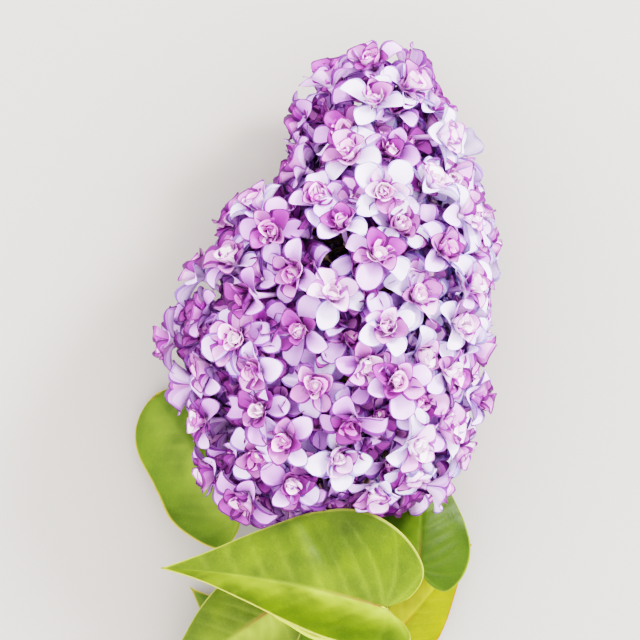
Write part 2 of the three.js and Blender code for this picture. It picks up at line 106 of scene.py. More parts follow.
def turned_to(axes, forward):
    """The axes turned as little as possible so that the third is `forward`."""
    pivot = np.cross(axes[2], forward)
    cosine = axes[2] @ forward
    first = axes[0] * cosine + np.cross(pivot, axes[0]) + pivot * (axes[0] @ pivot) / (1 + cosine)
    first = unit(first - forward * (first @ forward))
    return np.array([first, np.cross(forward, first), forward])


def round_angles(sides):
    """Evenly spaced angles round a ring."""
    return np.arange(sides) * 2 * math.pi / sides


def ring_faces(rings, sides):
    """The faces between rings of points that follow one another."""
    first = np.arange(rings - 1)[:, None] * sides
    here = np.arange(sides)
    after = (here + 1) % sides
    quads = [first + here, first + after, first + sides + after, first + sides + here]
    return np.stack(quads, -1).reshape(-1, 4)


def tube(centres, radii, sides, axes=None):
    """Points and faces of a closed tube. The radii are one for each ring, or one for each point."""
    centres = np.asarray(centres, float)
    steps = unit(np.gradient(centres, axis=0))
    axes = frame_on(steps[0]) if axes is None else turned_to(axes, steps[0])
    angles = round_angles(sides)
    radii = np.broadcast_to(np.asarray(radii, float).reshape(len(centres), -1), (len(centres), sides))
    rings = []
    for centre, step, radius in zip(centres, steps, radii):
        axes = turned_to(axes, step)
        across = np.outer(np.cos(angles), axes[0]) + np.outer(np.sin(angles), axes[1])
        rings.append(centre + across * radius[:, None])
    last = (len(centres) - 1) * sides
    caps = [list(range(sides))[::-1], list(range(last, last + sides))]
    return np.concatenate(rings), ring_faces(len(centres), sides).tolist() + caps


def join(parts):
    """Several (points, faces, slot) as one list of points, one of faces, and a slot for each face.

    A part's slot is one number, or one for each of its faces.
    """
    points = []
    faces = []
    slots = []
    start = 0
    for part_points, part_faces, slot in parts:
        points.append(part_points)
        faces.extend([[start + i for i in face] for face in part_faces])
        slots.extend(np.broadcast_to(slot, len(part_faces)).tolist())
        start += len(part_points)
    return np.concatenate(points), faces, slots


def make_piece(name, points, faces, materials, slots):
    """A smooth mesh from points in millimetres, with its materials, riding on the sprig."""
    mesh = bpy.data.meshes.new(name)
    mesh.from_pydata(((points + TO_FRAME) / 1000).tolist(), [], faces)
    for material in materials:
        mesh.materials.append(material)
    mesh.polygons.foreach_set("use_smooth", [True] * len(faces))
    mesh.polygons.foreach_set("material_index", slots)
    mesh.update()
    piece = bpy.data.objects.new(name, mesh)
    bpy.context.scene.collection.objects.link(piece)
    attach(piece, "root")
    return piece


def keep_values(piece, name, values):
    """Stores one number, or one vector, for each point of a mesh, for its material to read."""
    values = np.asarray(values, float)
    kind = "FLOAT_VECTOR" if values.ndim == 2 else "FLOAT"
    field = "vector" if values.ndim == 2 else "value"
    piece.data.attributes.new(name, kind, "POINT").data.foreach_set(field, values.ravel())


def colour(code):
    """An sRGB hex colour as linear red, green, blue and alpha."""
    shares = [int(code[i:i + 2], 16) / 255 for i in (1, 3, 5)]
    return [s / 12.92 if s < 0.04045 else ((s + 0.055) / 1.055) ** 2.4 for s in shares] + [1.0]


def new_material(name):
    material = bpy.data.materials.new(name)
    material.use_nodes = True
    material.node_tree.nodes.clear()
    return material, material.node_tree


def node(tree, kind, inputs=None, **settings):
    """Adds a node with its settings. An input takes a value, an output, or a node's first output."""
    made = tree.nodes.new(kind)
    for name, value in settings.items():
        setattr(made, name, value)
    for name, value in (inputs or {}).items():
        if isinstance(value, bpy.types.Node):
            value = value.outputs[0]
        if isinstance(value, bpy.types.NodeSocket):
            tree.links.new(value, made.inputs[name])
        else:
            made.inputs[name].default_value = value
    return made


def finish_surface(tree, skin, glow=None, share=0.0):
    """Ends a material with its skin, and for thin tissue the colour and share of light let through."""
    surface = node(tree, "ShaderNodeBsdfPrincipled", skin)
    if share:
        through = node(tree, "ShaderNodeBsdfTranslucent", {"Color": glow})
        surface = node(tree, "ShaderNodeMixShader", {0: share, 1: surface, 2: through})
    node(tree, "ShaderNodeOutputMaterial", {"Surface": surface})


def stem_radius(t):
    swelling = sum(math.exp(-(((t - k / (len(STEM_AXIS) - 1)) / NODE_REACH) ** 2))
                   for k in LEAF_NODES.values())
    return mix(CUT_RADIUS, STEM_TOP_RADIUS, t) + NODE_SWELLING * swelling


chance = np.random.RandomState(11)
stem_t = np.linspace(0, 1, STEM_RINGS)
stem_centres = np.array([along(STEM_AXIS, t) for t in stem_t])
stem_length = np.concatenate([[0], np.cumsum(np.linalg.norm(np.diff(stem_centres, axis=0), axis=1))])
round_stem = round_angles(STEM_SIDES)
plain_radius = np.array([stem_radius(t) for t in stem_t])[:, None]
pore = np.zeros((STEM_RINGS, STEM_SIDES))
for _ in range(PORES):
    place = chance.uniform(BARE_FOOT, stem_length[-1])
    turn = chance.uniform(0, 2 * math.pi)
    half_length = chance.uniform(*PORE_HALF_LENGTH)
    half_width = half_length * chance.uniform(*PORE_SLIMNESS)
    up = (stem_length[:, None] - place) / half_length
    aside = ((round_stem - turn + math.pi) % (2 * math.pi) - math.pi) * plain_radius / half_width
    pore = np.maximum(pore, np.exp(-(up ** 2 + aside ** 2)))
ridges = sum(height * np.sin(number * round_stem + stem_length[:, None] * twist)
             for height, number, twist in RIDGES)
ridges[0] = 0
stem_points, stem_faces = tube(stem_centres, plain_radius + ridges + PORE_HEIGHT * pore, STEM_SIDES)
stem_faces = stem_faces[:-2] + stem_faces[-1:]  # the cut takes the place of the tube's first end
bark_place = np.stack([
    plain_radius * np.cos(round_stem),
    plain_radius * np.sin(round_stem),
    np.broadcast_to(stem_length[:, None], pore.shape),
], -1).reshape(-1, 3)

# The cut is a disc of rings from the bark to the pith, a little rough from the blades.
CUT_SHARES = [1, 0.93, 0.88, 0.8, 0.65, 0.5, 0.35, 0.22, 0.15, 0.08]
CUT_ROUGHNESS = 0.05
cut_edge = stem_points[:STEM_SIDES]
inner_rings = [STEM_AXIS[0] + (cut_edge - STEM_AXIS[0]) * share for share in CUT_SHARES[1:]]
cut_points = np.concatenate([cut_edge] + inner_rings)
roughness = chance.uniform(-CUT_ROUGHNESS, CUT_ROUGHNESS, len(cut_points))
roughness[:STEM_SIDES] = 0
cut_points = cut_points + np.outer(roughness, direction(STEM_AXIS, 0))
cut_faces = ring_faces(len(CUT_SHARES), STEM_SIDES)[:, [1, 0, 3, 2]].tolist()
cut_faces.append(list(range(len(cut_points) - STEM_SIDES, len(cut_points)))[::-1])
cut_depth = np.repeat(CUT_SHARES, STEM_SIDES)

# Young lilac bark: living, thin and matt. Lengthwise grain 0.6 mm wide and 4 mm long, pale pores, and
# olive patches of about 9 mm where light gets to it.
BARK_BROWN = "#5f4f3c"
bark, tree = new_material("young_lilac_bark")
place = node(tree, "ShaderNodeAttribute", attribute_name="bark_place").outputs["Vector"]
pores = node(tree, "ShaderNodeAttribute", attribute_name="pore").outputs["Fac"]
stretched = node(tree, "ShaderNodeVectorMath", {0: place, 1: (1.0, 1.0, 0.16)}, operation="MULTIPLY")
grain = node(tree, "ShaderNodeTexNoise", {"Vector": stretched, "Scale": 1.6, "Detail": 6.0})
patch = node(tree, "ShaderNodeTexNoise", {"Vector": place, "Scale": 0.11, "Detail": 2.0})
olive = node(tree, "ShaderNodeMapRange", {"Value": patch, 1: 0.42, 2: 0.68})
surface = colour(BARK_BROWN)
for share, code in ((grain, "#a08d6d"), (olive, "#7f7c4b"), (pores, "#d3c3a2")):
    surface = node(tree, "ShaderNodeMixRGB", {"Fac": share, "Color1": surface, "Color2": colour(code)})
relief = node(tree, "ShaderNodeBump", {"Height": grain, "Strength": 0.5, "Distance": 0.0003})
finish_surface(tree, {"Base Color": surface, "Roughness": 0.78, "Normal": relief})

# Fresh cut wood: damp and cream, with the green growing layer just under the bark and a white pith.
# Each of these begins and is full at a share of the cut's radius.
CUT_ZONES = [(0.22, 0.16, "#f4efdc"), (0.8, 0.9, "#8ba24a"), (0.93, 0.99, BARK_BROWN)]
cut_wood, tree = new_material("fresh_cut_wood")
depth = node(tree, "ShaderNodeAttribute", attribute_name="cut_depth").outputs["Fac"]
speck = node(tree, "ShaderNodeTexNoise", {"Scale": 1800.0, "Detail": 3.0})
surface = node(tree, "ShaderNodeMixRGB", {
    "Fac": speck, "Color1": colour("#e6d7a9"), "Color2": colour("#c9b57c")})
for begins, full, code in CUT_ZONES:
    share = node(tree, "ShaderNodeMapRange", {"Value": depth, 1: begins, 2: full})
    surface = node(tree, "ShaderNodeMixRGB", {"Fac": share, "Color1": surface, "Color2": colour(code)})
finish_surface(tree, {"Base Color": surface, "Roughness": 0.6})

points, faces, slots = join([(stem_points, stem_faces, 0), (cut_points, cut_faces, 1)])
stem = make_piece("stem_bark", points, faces, [bark, cut_wood], slots)
keep_values(stem, "bark_place", np.concatenate([bark_place, cut_points - STEM_AXIS[0]]))
keep_values(stem, "pore", np.concatenate([pore.ravel(), np.zeros(len(cut_points))]))
keep_values(stem, "cut_depth", np.concatenate([np.ones(len(stem_points)), cut_depth]))
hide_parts("stem")

# ---- Leaves ----
# Heart-shaped blades on long stalks, in opposite pairs: thin, smooth and waxy, with a midrib that
# stands out below and side veins that sink in above. Each half folds at its own angle and ripples.
WIDEST = 0.385
LEAF_MARGIN = np.array([  # half of a blade's outline, from the notch, in blade lengths
    [0, 0],
    [-0.11, 0.09],
    [-0.14, 0.22],
    [-0.02, 0.34],
    [0.17, WIDEST],
    [0.38, 0.325],
    [0.6, 0.205],
    [0.82, 0.08],
    [1, 0],
])
BLADE_THICKNESS = 0.35
VEIN_THICKNESS = 0.18  # how much thicker it is at its midrib
BLADE_ROWS = 81
BLADE_COLUMNS = 53
LEAST_HALF_WIDTH = 0.35  # at the notch and the tip
TROUGH = 0.16  # how softly a blade bends along its midrib, as a share of its half width
ROUND_END = 0.4  # half the width of a blunt leaf's round end, in blade lengths
# Waves: how many radians of them lie along a blade, and how many across each half of it.
RIPPLE = (9, 2)
EDGE_WAVE = (31, 3)
FRILL_WAVE = (19, 2.5)
EDGE_WAVE_HEIGHT = 0.35
FRILL = 0.04  # how far a blunt leaf's margin waves in and out, as a share of its half width
FRILL_LIFT = 0.9  # and how far it is lifted, on average
DIP_FOOT = 0.2  # where a soft valley beside a side vein of the front leaf starts, in blade lengths
DIP_WIDTH = 0.055  # and half its width
QUILT_HEIGHT = 0.25  # of the cushions between the veins
QUILT_REACH = 0.05  # from a vein to a cushion's full height, in blade lengths
VEIN_SINK = 0.14
VEIN_FEET = [0.05, 0.15, 0.27, 0.4, 0.53, 0.66, 0.79]  # along the midrib, in blade lengths
VEIN_LEAN = 0.62  # how far a side vein goes towards the tip for each length out to the side
VEIN_BOW = 0.35  # and how much it bows that way
VEIN_SPACING = 0.8  # how much closer together the slanting veins lie than their feet
VEIN_WIDTH = 0.011  # half a side vein with its soft edges, in blade lengths
LOBE_VEINS = [78, 108, 138]  # degrees from the midrib, of the veins that run into the lobes
LOBE_BOW = 60  # degrees that they turn in a blade length
LOBE_END = 0.05  # side veins that would start below this are the lobes' own
MIDRIB_DEPTH = 0.5  # from a blade's upper side down to the middle line of its midrib's crest
MIDRIB_SINK = 0.25
MIDRIB_WIDTH = 0.55  # this and the next are half widths
BLUSH_WIDTH = 0.5
BLUSH_REACH = 0.3  # from the notch, in blade lengths
MARGIN_WIDTH = 0.45  # of its thin dry edge
PAINTED_SHEEN_REACH = 11  # how far the paler band beside a midrib goes, a painted sheen
PAINTED_SHEEN_HALVES = (1, 0.25)  # how strong that painted sheen is on the left half, and on the right
# Places on the midrib under a blade, in blade lengths, and its radius there.
MIDRIB = [(0, 1.05), (0.04, 0.9), (0.12, 0.75), (0.3, 0.6), (0.5, 0.45), (0.7, 0.32), (0.88, 0.2)]
LEAF_STALK_RADII = [1.9, 1.05, 1.0, 1.0]  # from its swollen foot to the notch
LEAF_STALK_SINK = 0.6  # into the stem
LEAF_STALK_ELBOW = 0.4  # how far out its bend stands, as a share of its reach
LEAF_STALK_KNOTS = (0.6, 0.88)  # shares of the way from that bend to the notch
LEAF_STALK_RINGS = 70
LEAF_STALK_SIDES = 12
LEAVES = [
    dict(name="front_leaf", at="middle", base=[22.4, -100.8, 60], tip=[-56, -87.5, 52], arch=4,
         sweep=3, width=1, blunt=0, folds=[-66, 4], wave=0.8, dip=2.1, finish="spring_leaf"),
    dict(name="left_leaf", at="upper", base=[-29.5, -68.5, 20], tip=[-61, -28, 4], arch=5,
         sweep=0, width=1.03, blunt=0.9, folds=[6, 12], wave=2.6, finish="pale_leaf"),
    dict(name="right_leaf", at="upper", base=[35.7, -89.5, 27], tip=[39, -45, 9], arch=4,
         sweep=0, width=1.02, blunt=0, folds=[8, 12], wave=0.8, finish="full_green_leaf"),
    dict(name="under_leaf", at="middle", base=[-19, -106, 22], tip=[-62, -136, 13], arch=3,
         sweep=0, width=0.9, blunt=0, folds=[14, 16], wave=1, finish="spring_leaf"),
    dict(name="lower_left_leaf", at="lower", base=[-11, -134, 7], tip=[-48, -99, 2.5], arch=2,
         sweep=0, width=0.95, blunt=0, folds=[2, 3], wave=0.5, finish="pale_leaf"),
    dict(name="lower_right_leaf", at="lower", base=[27, -117, 7], tip=[56, -83, 2.5], arch=2,
         sweep=0, width=0.76, blunt=0, folds=[2, 3], wave=0.5, finish="yellow_leaf"),
]
# For each finish: the blade from dark to light, its veins, its margin, its blush and its underside.
LEAF_COLOURS = {
    "spring_leaf": ["#44560a", "#5d7110", "#a4b55c", "#b2b266", "#8a4632", "#8a9a50"],
    "pale_leaf": ["#465c0c", "#597212", "#8ba049", "#c0a85a", "#b8702f", "#94a45c"],
    "full_green_leaf": ["#384e04", "#475f06", "#6a8020", "#8f9b40", "#6f5228", "#748838"],
    "yellow_leaf": ["#70780c", "#8a8a14", "#b0b048", "#b04a1c", "#a04722", "#a2a65e"],
}


def blade_frame(leaf):
    """A blade's notch, its length, and its ways to the right, up and forward."""
    notch = np.array(leaf["base"], float)
    way = np.array(leaf["tip"], float) - notch
    return notch, np.linalg.norm(way), *frame_on(unit(way))


def arc(height, t):
    """How high an arc stands at t, from nothing at both ends to its height in the middle."""
    return 4 * height * t * (1 - t)


def vein_start(x, y):
    """Where on the midrib a side vein through each point of a blade would start."""
    return x - VEIN_LEAN * y - VEIN_BOW * y * y


def blade_veins(x, y):
    """How near each point of a blade is to a vein, from 0 to 1, and to the middle between veins."""
    start = vein_start(x, y)
    fading = 1.25 - y / 0.4  # the side veins narrow and fade towards the margin
    vein = np.zeros_like(x)
    nearest = np.full_like(x, 9.0)
    for foot in VEIN_FEET:
        gap = np.abs(start - foot) * VEIN_SPACING
        nearest = np.minimum(nearest, gap)
        width = VEIN_WIDTH * np.clip(fading, 0.75, 1)
        vein = np.maximum(vein, np.exp(-(gap / width) ** 2) * np.clip(fading, 0.3, 1))
    reach = np.hypot(x, y)
    turn = np.degrees(np.arctan2(y, x))
    in_lobe = start < LOBE_END
    for angle in LOBE_VEINS:
        off = np.radians(turn - angle + LOBE_BOW * reach)
        gap = reach * np.abs(np.sin(np.clip(off, -1.5, 1.5)))
        nearest = np.where(in_lobe, np.minimum(nearest, gap), nearest)
        width = VEIN_WIDTH * np.clip(1.3 - reach / 0.35, 0.6, 1)
        vein = np.where(in_lobe, np.maximum(vein, np.exp(-(gap / width) ** 2)), vein)
    return vein, np.clip(nearest / QUILT_REACH, 0, 1)


def grow_leaf(leaf):
    """The points of a blade's upper side, the way down at each, and what its materials read there."""
    notch, length, right, above, forward = blade_frame(leaf)
    rows = np.linspace(0, 1, BLADE_ROWS)
    outline = np.array([along(LEAF_MARGIN, t) for t in rows])
    share = rows[:, None]
    column = np.linspace(-1, 1, BLADE_COLUMNS)[None, :]
    out = np.abs(column)

    def waves(lengthwise, crosswise):
        return np.sin(share * lengthwise + column * crosswise)

    round_end = ROUND_END * np.sqrt(np.clip(1 - outline[:, :1] ** 4, 0, 1))
    half = mix(outline[:, 1:], round_end, leaf["blunt"] * np.clip(share * 1.5, 0, 1) ** 2)
    frill = leaf["blunt"] * waves(*FRILL_WAVE)
    width = np.maximum(LEAST_HALF_WIDTH, half * length * leaf["width"]) * (1 + FRILL * frill * out ** 2)
    x = mix(share ** 2, outline[:, :1], out)
    y = half * out
    bend = (np.sqrt(column ** 2 + TROUGH ** 2) - TROUGH) / (math.sqrt(1 + TROUGH ** 2) - TROUGH)
    fold = np.radians(np.where(column < 0, *leaf["folds"]))
    vein, between = blade_veins(x, y)
    midrib = np.exp(-(out * width / MIDRIB_WIDTH) ** 2) * np.clip(1.15 - share, 0, 1)

    # The waves and the cushions are lower where the blade is narrow.
    broad = half / WIDEST
    ripple = leaf["wave"] * waves(*RIPPLE) * out ** 2 * broad
    edge_wave = EDGE_WAVE_HEIGHT * waves(*EDGE_WAVE) * out ** 6 * broad
    quilt = QUILT_HEIGHT * between * np.clip(out * 3, 0, 1) * np.clip(1 - out ** 4, 0, 1) * broad
    lift = quilt - VEIN_SINK * vein - MIDRIB_SINK * midrib + ripple + edge_wave
    lift = lift + FRILL_LIFT * (leaf["blunt"] + frill) * out ** 3
    valley = np.exp(-((vein_start(x, y) - DIP_FOOT) / DIP_WIDTH) ** 2) * np.clip(column * 2, 0, 1)
    lift = lift - leaf.get("dip", 0) * valley
    rise = arc(leaf["arch"], x)
    side = column * width * np.cos(fold) + arc(leaf["sweep"], x)
    sink = bend * width * np.sin(fold)
    points = (notch + forward * (x * length)[..., None] + right * side[..., None]
              + above * (rise - sink + lift)[..., None])
    down = np.cross(np.gradient(points, axis=0), np.gradient(points, axis=1))
    down = down / np.maximum(np.linalg.norm(down, axis=-1, keepdims=True), 1e-9)
    down = down * -np.sign((down @ above)[..., None] + 1e-9)
    # A paler band beside the midrib that fades towards the tip: painted sheen, stronger on the left
    # half.
    pale = np.exp(-(out * width / PAINTED_SHEEN_REACH) ** 2) * np.clip(1 - x, 0, 1) ** 0.5
    return points, down, {
        "blade_place": np.stack([x * length, column * width, 0 * x], -1),
        "vein": np.maximum(vein * 0.3, midrib),
        "margin": np.clip(1 - (1 - out) * width / MARGIN_WIDTH, 0, 1) * np.ones_like(x),
        "blush": np.clip(1 - x / BLUSH_REACH, 0, 1) * np.exp(-(out * width / BLUSH_WIDTH) ** 2),
        # painted sheen beside the midrib
        "pale": pale * np.where(column < 0, *PAINTED_SHEEN_HALVES),
    }


def blade_faces(rows, columns):
    """A blade's faces, and for each its material: 1 on the underside, 0 on the upper side and edge."""
    under = rows * columns
    upper = []
    lower = []
    edge = []
    for i in range(rows - 1):
        for j in range(columns - 1):
            a, b = i * columns + j, i * columns + j + 1
            c, d = b + columns, a + columns
            upper.append([a, b, c, d])
            lower.append([under + a, under + d, under + c, under + b])
        first, last = i * columns, i * columns + columns - 1
        edge.append([first, first + columns, under + first + columns, under + first])
        edge.append([last, under + last, under + last + columns, last + columns])
    end = (rows - 1) * columns
    for j in range(columns - 1):
        edge.append([j, under + j, under + j + 1, j + 1])
        edge.append([end + j, end + j + 1, under + end + j + 1, under + end + j])
    return upper + lower + edge, [0] * len(upper) + [1] * len(lower) + [0] * len(edge)


def at_node(leaf):
    """Where a leaf leaves the stem: the axis there, the ways onward and out, and the radius."""
    at = LEAF_NODES[leaf["at"]] / (len(STEM_AXIS) - 1)
    axis = along(STEM_AXIS, at)
    onward = direction(STEM_AXIS, at)
    out = np.array(leaf["base"], float) - axis
    return axis, onward, unit(out - onward * (out @ onward)), stem_radius(at)


def leaf_stalk(leaf):
    """The leaf's stalk, from the stem's swollen node to the notch, and the midrib under the blade."""
    axis, onward, out, stem_side = at_node(leaf)
    base, length, right, above, forward = blade_frame(leaf)
    foot = axis + out * (stem_side - LEAF_STALK_SINK)
    elbow = foot + out * np.linalg.norm(base - foot) * LEAF_STALK_ELBOW
    hold = base - above * (MIDRIB_DEPTH + LEAF_STALK_RADII[-1])
    route = [foot, elbow] + [mix(elbow, hold, knot) for knot in LEAF_STALK_KNOTS]
    for t, radius in MIDRIB:
        under = base + forward * t * length + right * arc(leaf["sweep"], t)
        route.append(under + above * (arc(leaf["arch"], t) - MIDRIB_DEPTH - radius * 0.9))
    route = np.array(route)
    knots = LEAF_STALK_RADII + [radius for _, radius in MIDRIB]
    t = np.linspace(0, 1, LEAF_STALK_RINGS)
    centres = np.array([along(route, v) for v in t])
    radii = np.interp(t, np.linspace(0, 1, len(knots)), knots)
    return tube(centres, radii, LEAF_STALK_SIDES, np.array([onward, np.cross(out, onward), out]))


# Living leaf: a translucent yellow-green sheet under a thin wax, which gives it broad soft
# highlights. Paler veins, a network of cells about 1 mm wide between them, a thin dry margin, and a
# painted sheen in patches beside the midrib.
leaf_finishes = {}
for finish, (dark, light, veins, margin, blush, under) in LEAF_COLOURS.items():
    upper, tree = new_material(finish)
    place = node(tree, "ShaderNodeAttribute", attribute_name="blade_place").outputs["Vector"]
    # The pale values are a painted sheen beside the midrib.
    vein, rim, red, pale = (node(tree, "ShaderNodeAttribute", attribute_name=name).outputs["Fac"]
                            for name in ("vein", "margin", "blush", "pale"))
    cloud = node(tree, "ShaderNodeTexNoise", {"Vector": place, "Scale": 0.07, "Detail": 3.0})
    fleck = node(tree, "ShaderNodeTexNoise", {"Vector": place, "Scale": 1.3, "Detail": 4.0})
    cells = node(tree, "ShaderNodeTexVoronoi", {"Vector": place, "Scale": 0.9},
                 feature="DISTANCE_TO_EDGE")
    blotch = node(tree, "ShaderNodeMapRange", {"Value": cloud, 1: 0.35, 2: 0.65})
    ground = node(tree, "ShaderNodeMixRGB", {
        "Fac": blotch, "Color1": colour(dark), "Color2": colour(light)})
    surface = node(tree, "ShaderNodeMixRGB", {"Fac": 0.22, "Color1": ground, "Color2": fleck},
                   blend_type="OVERLAY")
    network = node(tree, "ShaderNodeMapRange", {"Value": cells, 1: 0.0, 2: 0.09, 3: 0.14, 4: 0.0})
    # Painted sheen beside the midrib, in patches, mixed in with the veins' colour.
    painted_sheen_patches = node(tree, "ShaderNodeMapRange", {"Value": cloud, 1: 0.35, 2: 0.65, 3: 0.35, 4: 1.0})
    painted_sheen = node(tree, "ShaderNodeMath", {0: pale, 1: painted_sheen_patches}, operation="MULTIPLY")
    veins_and_painted_sheen = node(tree, "ShaderNodeMath", {0: vein, 1: 0.45, 2: painted_sheen}, operation="MULTIPLY_ADD")
    for share, code in ((network, veins), (veins_and_painted_sheen, veins), (red, blush), (rim, margin)):
        surface = node(tree, "ShaderNodeMixRGB", {
            "Fac": share, "Color1": surface, "Color2": colour(code)})
    fine = node(tree, "ShaderNodeBump", {"Height": cells, "Strength": 0.35, "Distance": 0.00012})
    skin = {"Base Color": surface, "Roughness": 0.4, "Normal": fine, "Specular IOR Level": 0.28}
    finish_surface(tree, skin, colour(veins), 0.32)

    below, tree = new_material(finish + "_underside")
    place = node(tree, "ShaderNodeAttribute", attribute_name="blade_place").outputs["Vector"]
    vein = node(tree, "ShaderNodeAttribute", attribute_name="vein").outputs["Fac"]
    fleck = node(tree, "ShaderNodeTexNoise", {"Vector": place, "Scale": 0.9, "Detail": 4.0})
    surface = colour(under)
    for share, code in ((fleck, light), (vein, "#c2ce8c")):
        surface = node(tree, "ShaderNodeMixRGB", {
            "Fac": share, "Color1": surface, "Color2": colour(code)})
    finish_surface(tree, {"Base Color": surface, "Roughness": 0.62}, colour(light), 0.28)
    leaf_finishes[finish] = [upper, below]

# Leaf stalk and midrib: firm green tissue with a waxy skin, flushed red-brown by the sun.
petiole, tree = new_material("green_leaf_stalk")
patch = node(tree, "ShaderNodeTexNoise", {"Scale": 140.0, "Detail": 3.0})
flush = node(tree, "ShaderNodeMapRange", {"Value": patch, 1: 0.5, 2: 0.75})
green = node(tree, "ShaderNodeMixRGB", {
    "Fac": flush, "Color1": colour("#a9bb58"), "Color2": colour("#a9784a")})
finish_surface(tree, {"Base Color": green, "Roughness": 0.45})

faces_of_blade, slots_of_blade = blade_faces(BLADE_ROWS, BLADE_COLUMNS)
for leaf in LEAVES:
    top, down, values = grow_leaf(leaf)
    bottom = top + down * (BLADE_THICKNESS + VEIN_THICKNESS * values["vein"][..., None])
    blade_points = np.concatenate([top.reshape(-1, 3), bottom.reshape(-1, 3)])
    blade = blade_points, faces_of_blade, slots_of_blade
    points, faces, slots = join([blade, (*leaf_stalk(leaf), 2)])
    materials = leaf_finishes[leaf["finish"]] + [petiole]
    piece = make_piece(leaf["name"] + "_blade", points, faces, materials, slots)
    for name, value in values.items():
        flat = value.reshape(-1, 3) if value.ndim == 3 else value.ravel()
        on_stalk = np.zeros((len(points) - len(blade_points), *flat.shape[1:]))
        keep_values(piece, name, np.concatenate([flat, flat, on_stalk]))
    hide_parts(leaf["name"])

# ---- Buds ----
# A small resting bud in the angle above each leaf stalk, ready for next year: egg-shaped, four-angled
# and closed by pairs of smooth scales that overlap upwards.
BUD_LENGTH = 4.6
BUD_RADIUS = 1.5
BUD_SCALES = 3  # steps where one pair of scales ends over the next
SCALE_STEP = 0.07  # as a share of the bud's radius, and so are its four angles
BUD_ANGLES = 0.07
BUD_RISE = 1.8  # above its leaf's stalk
BUD_SINK = 0.5  # into the stem
BUD_LEAN = 0.55  # away from the stem
BUD_RINGS = 28
BUD_SIDES = 20


def four_angled(sides, depth):
    """The radii round a four-angled section, as shares of its own radius."""
    return 1 + depth * np.cos(4 * round_angles(sides))


bud_share = np.linspace(0, 1, BUD_RINGS)
swell = np.sqrt(np.clip(np.sin(math.pi * (0.18 + 0.82 * bud_share ** 1.1)), 0.003, 1))
bud_radii = BUD_RADIUS * swell * (1 + SCALE_STEP * (0.5 - bud_share * BUD_SCALES % 1))
bud_radii = bud_radii[:, None] * four_angled(BUD_SIDES, BUD_ANGLES)
bud_parts = []
for leaf in LEAVES:
    axis, onward, out, stem_side = at_node(leaf)
    foot = axis + out * (stem_side - BUD_SINK) + onward * BUD_RISE
    centres = foot + np.outer(bud_share * BUD_LENGTH, unit(onward + out * BUD_LEAN))
    bud_parts.append((*tube(centres, bud_radii, BUD_SIDES), 0))

# Bud scales: smooth, tough and slightly glossy, green where they are young and brown at their edges.
bud_scale, tree = new_material("green_brown_bud_scale")
mottle = node(tree, "ShaderNodeTexNoise", {"Scale": 900.0, "Detail": 3.0})
scale_colour = node(tree, "ShaderNodeMixRGB", {
    "Fac": mottle, "Color1": colour("#77803a"), "Color2": colour("#6a4a33")})
finish_surface(tree, {"Base Color": scale_colour, "Roughness": 0.4})
points, faces, slots = join(bud_parts)
buds = make_piece("leaf_angle_buds", points, faces, [bud_scale], slots)
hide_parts("stem")

# ---- Flower stalks ----
# The head's green framework: a tapering axis, side branches in crossed pairs, and a short stalk
# for each blossom that ends in its small toothed cup. Soft and juicy, tinged purple by the sun.
HEAD_AXIS = np.array([  # through the middle of the flower head, from its foot to its tip
    [11, -76.6, 40.7],
    [7.7, -42, 45.5],
    [9.8, -7, 47],
    [15.4, 28, 47],
    [21, 59.5, 44],
    [25.5, 91, 40],
])
RACHIS_END = 0.9  # share of the axis
RACHIS_RADIUS = 2.3
RACHIS_TIP_RADIUS = 0.8
RACHIS_ANGLES = 0.06  # how far its four angles stand out, as a share of its radius
RACHIS_RINGS = 90
RACHIS_SIDES = 16
# How far the blossoms stand from the axis: share of its length, then right, left, front, back.
HEAD_PROFILE = np.array([
    [0.0, 10, 12, 8, 12],
    [0.06, 27, 30, 15, 26],
    [0.13, 38, 45, 27, 38],
    [0.22, 41, 48, 37, 42],
    [0.31, 44, 55, 43, 43],
    [0.38, 45, 63, 45, 43],
    [0.47, 45, 52, 45, 43],
    [0.58, 43, 44, 43, 43],
    [0.64, 41, 41, 39, 41],
    [0.7, 38, 26, 36, 36],
    [0.77, 31, 26, 31, 30],
    [0.86, 22, 31, 23, 22],
    [0.95, 13, 20, 14, 14],
    [1.0, 6, 9, 6, 5],
])
BRANCH_PAIRS = 9
FIRST_PAIR = 0.1  # the share of the axis that the lowest pair reaches up to
LAST_PAIR = 0.84
FIRST_PAIR_TURN = 80
BRANCH_RISE = 0.07  # how much lower a branch starts than it reaches
BRANCH_ROOM = 15  # between a branch's end and the outermost blossoms' middles
BRANCH_SHORTEST = 4
BRANCH_RADII = [1.6, 1.2, 0.8]  # at its foot, a fifth of the way up and at its end
BRANCH_SINK = 0.7  # into the axis
BRANCH_RINGS = 12
BRANCH_SIDES = 8
LOWEST_FOOT = 0.02  # shares of the axis: where the lowest branches start, and the tip branch's length
TIP_BRANCH = 0.04
TIP_PULL = 1.6  # how much further off the axis's tip counts than it is, when blossoms are dealt out
AXIS_ROOM = 4  # that a blossom's middle keeps from the axis
THROAT = 2.4  # from a tube's end to its blossom's middle
TUBE_LENGTH = 8
TUBE_SHARE = 0.35  # of the head's radius, the longest that a tube may be
STALK_SLANT = 0.6  # how far along its branch a stalk runs for each millimetre out
STALK_FIRST = 0.3  # share of a branch, before its first stalk
STALK_RADII = (0.75, 0.5)
STALK_RINGS = 7
STALK_SIDES = 6
CUP_HEIGHTS = (-0.9, -0.3, 0.5, 1.1)  # from the foot of its tube
CUP_RADII = (0.5, 0.95, 1.1, 1.25)
CUP_SIDES = 8
TURN = 137.508  # degrees round the head from one blossom to the next
# The blossoms of the outer layers, then smaller ones that fill in deeper among their tubes. Every
# three in turn sit at the three depths.
LAYERS = [
    dict(count=138, seed=20873, depths=[0, -5.5, -2.5], size=1.0, loose=1.0),
    dict(count=200, seed=4177, depths=[-7.5, -12.5, -10], size=0.92, loose=1.2),
]
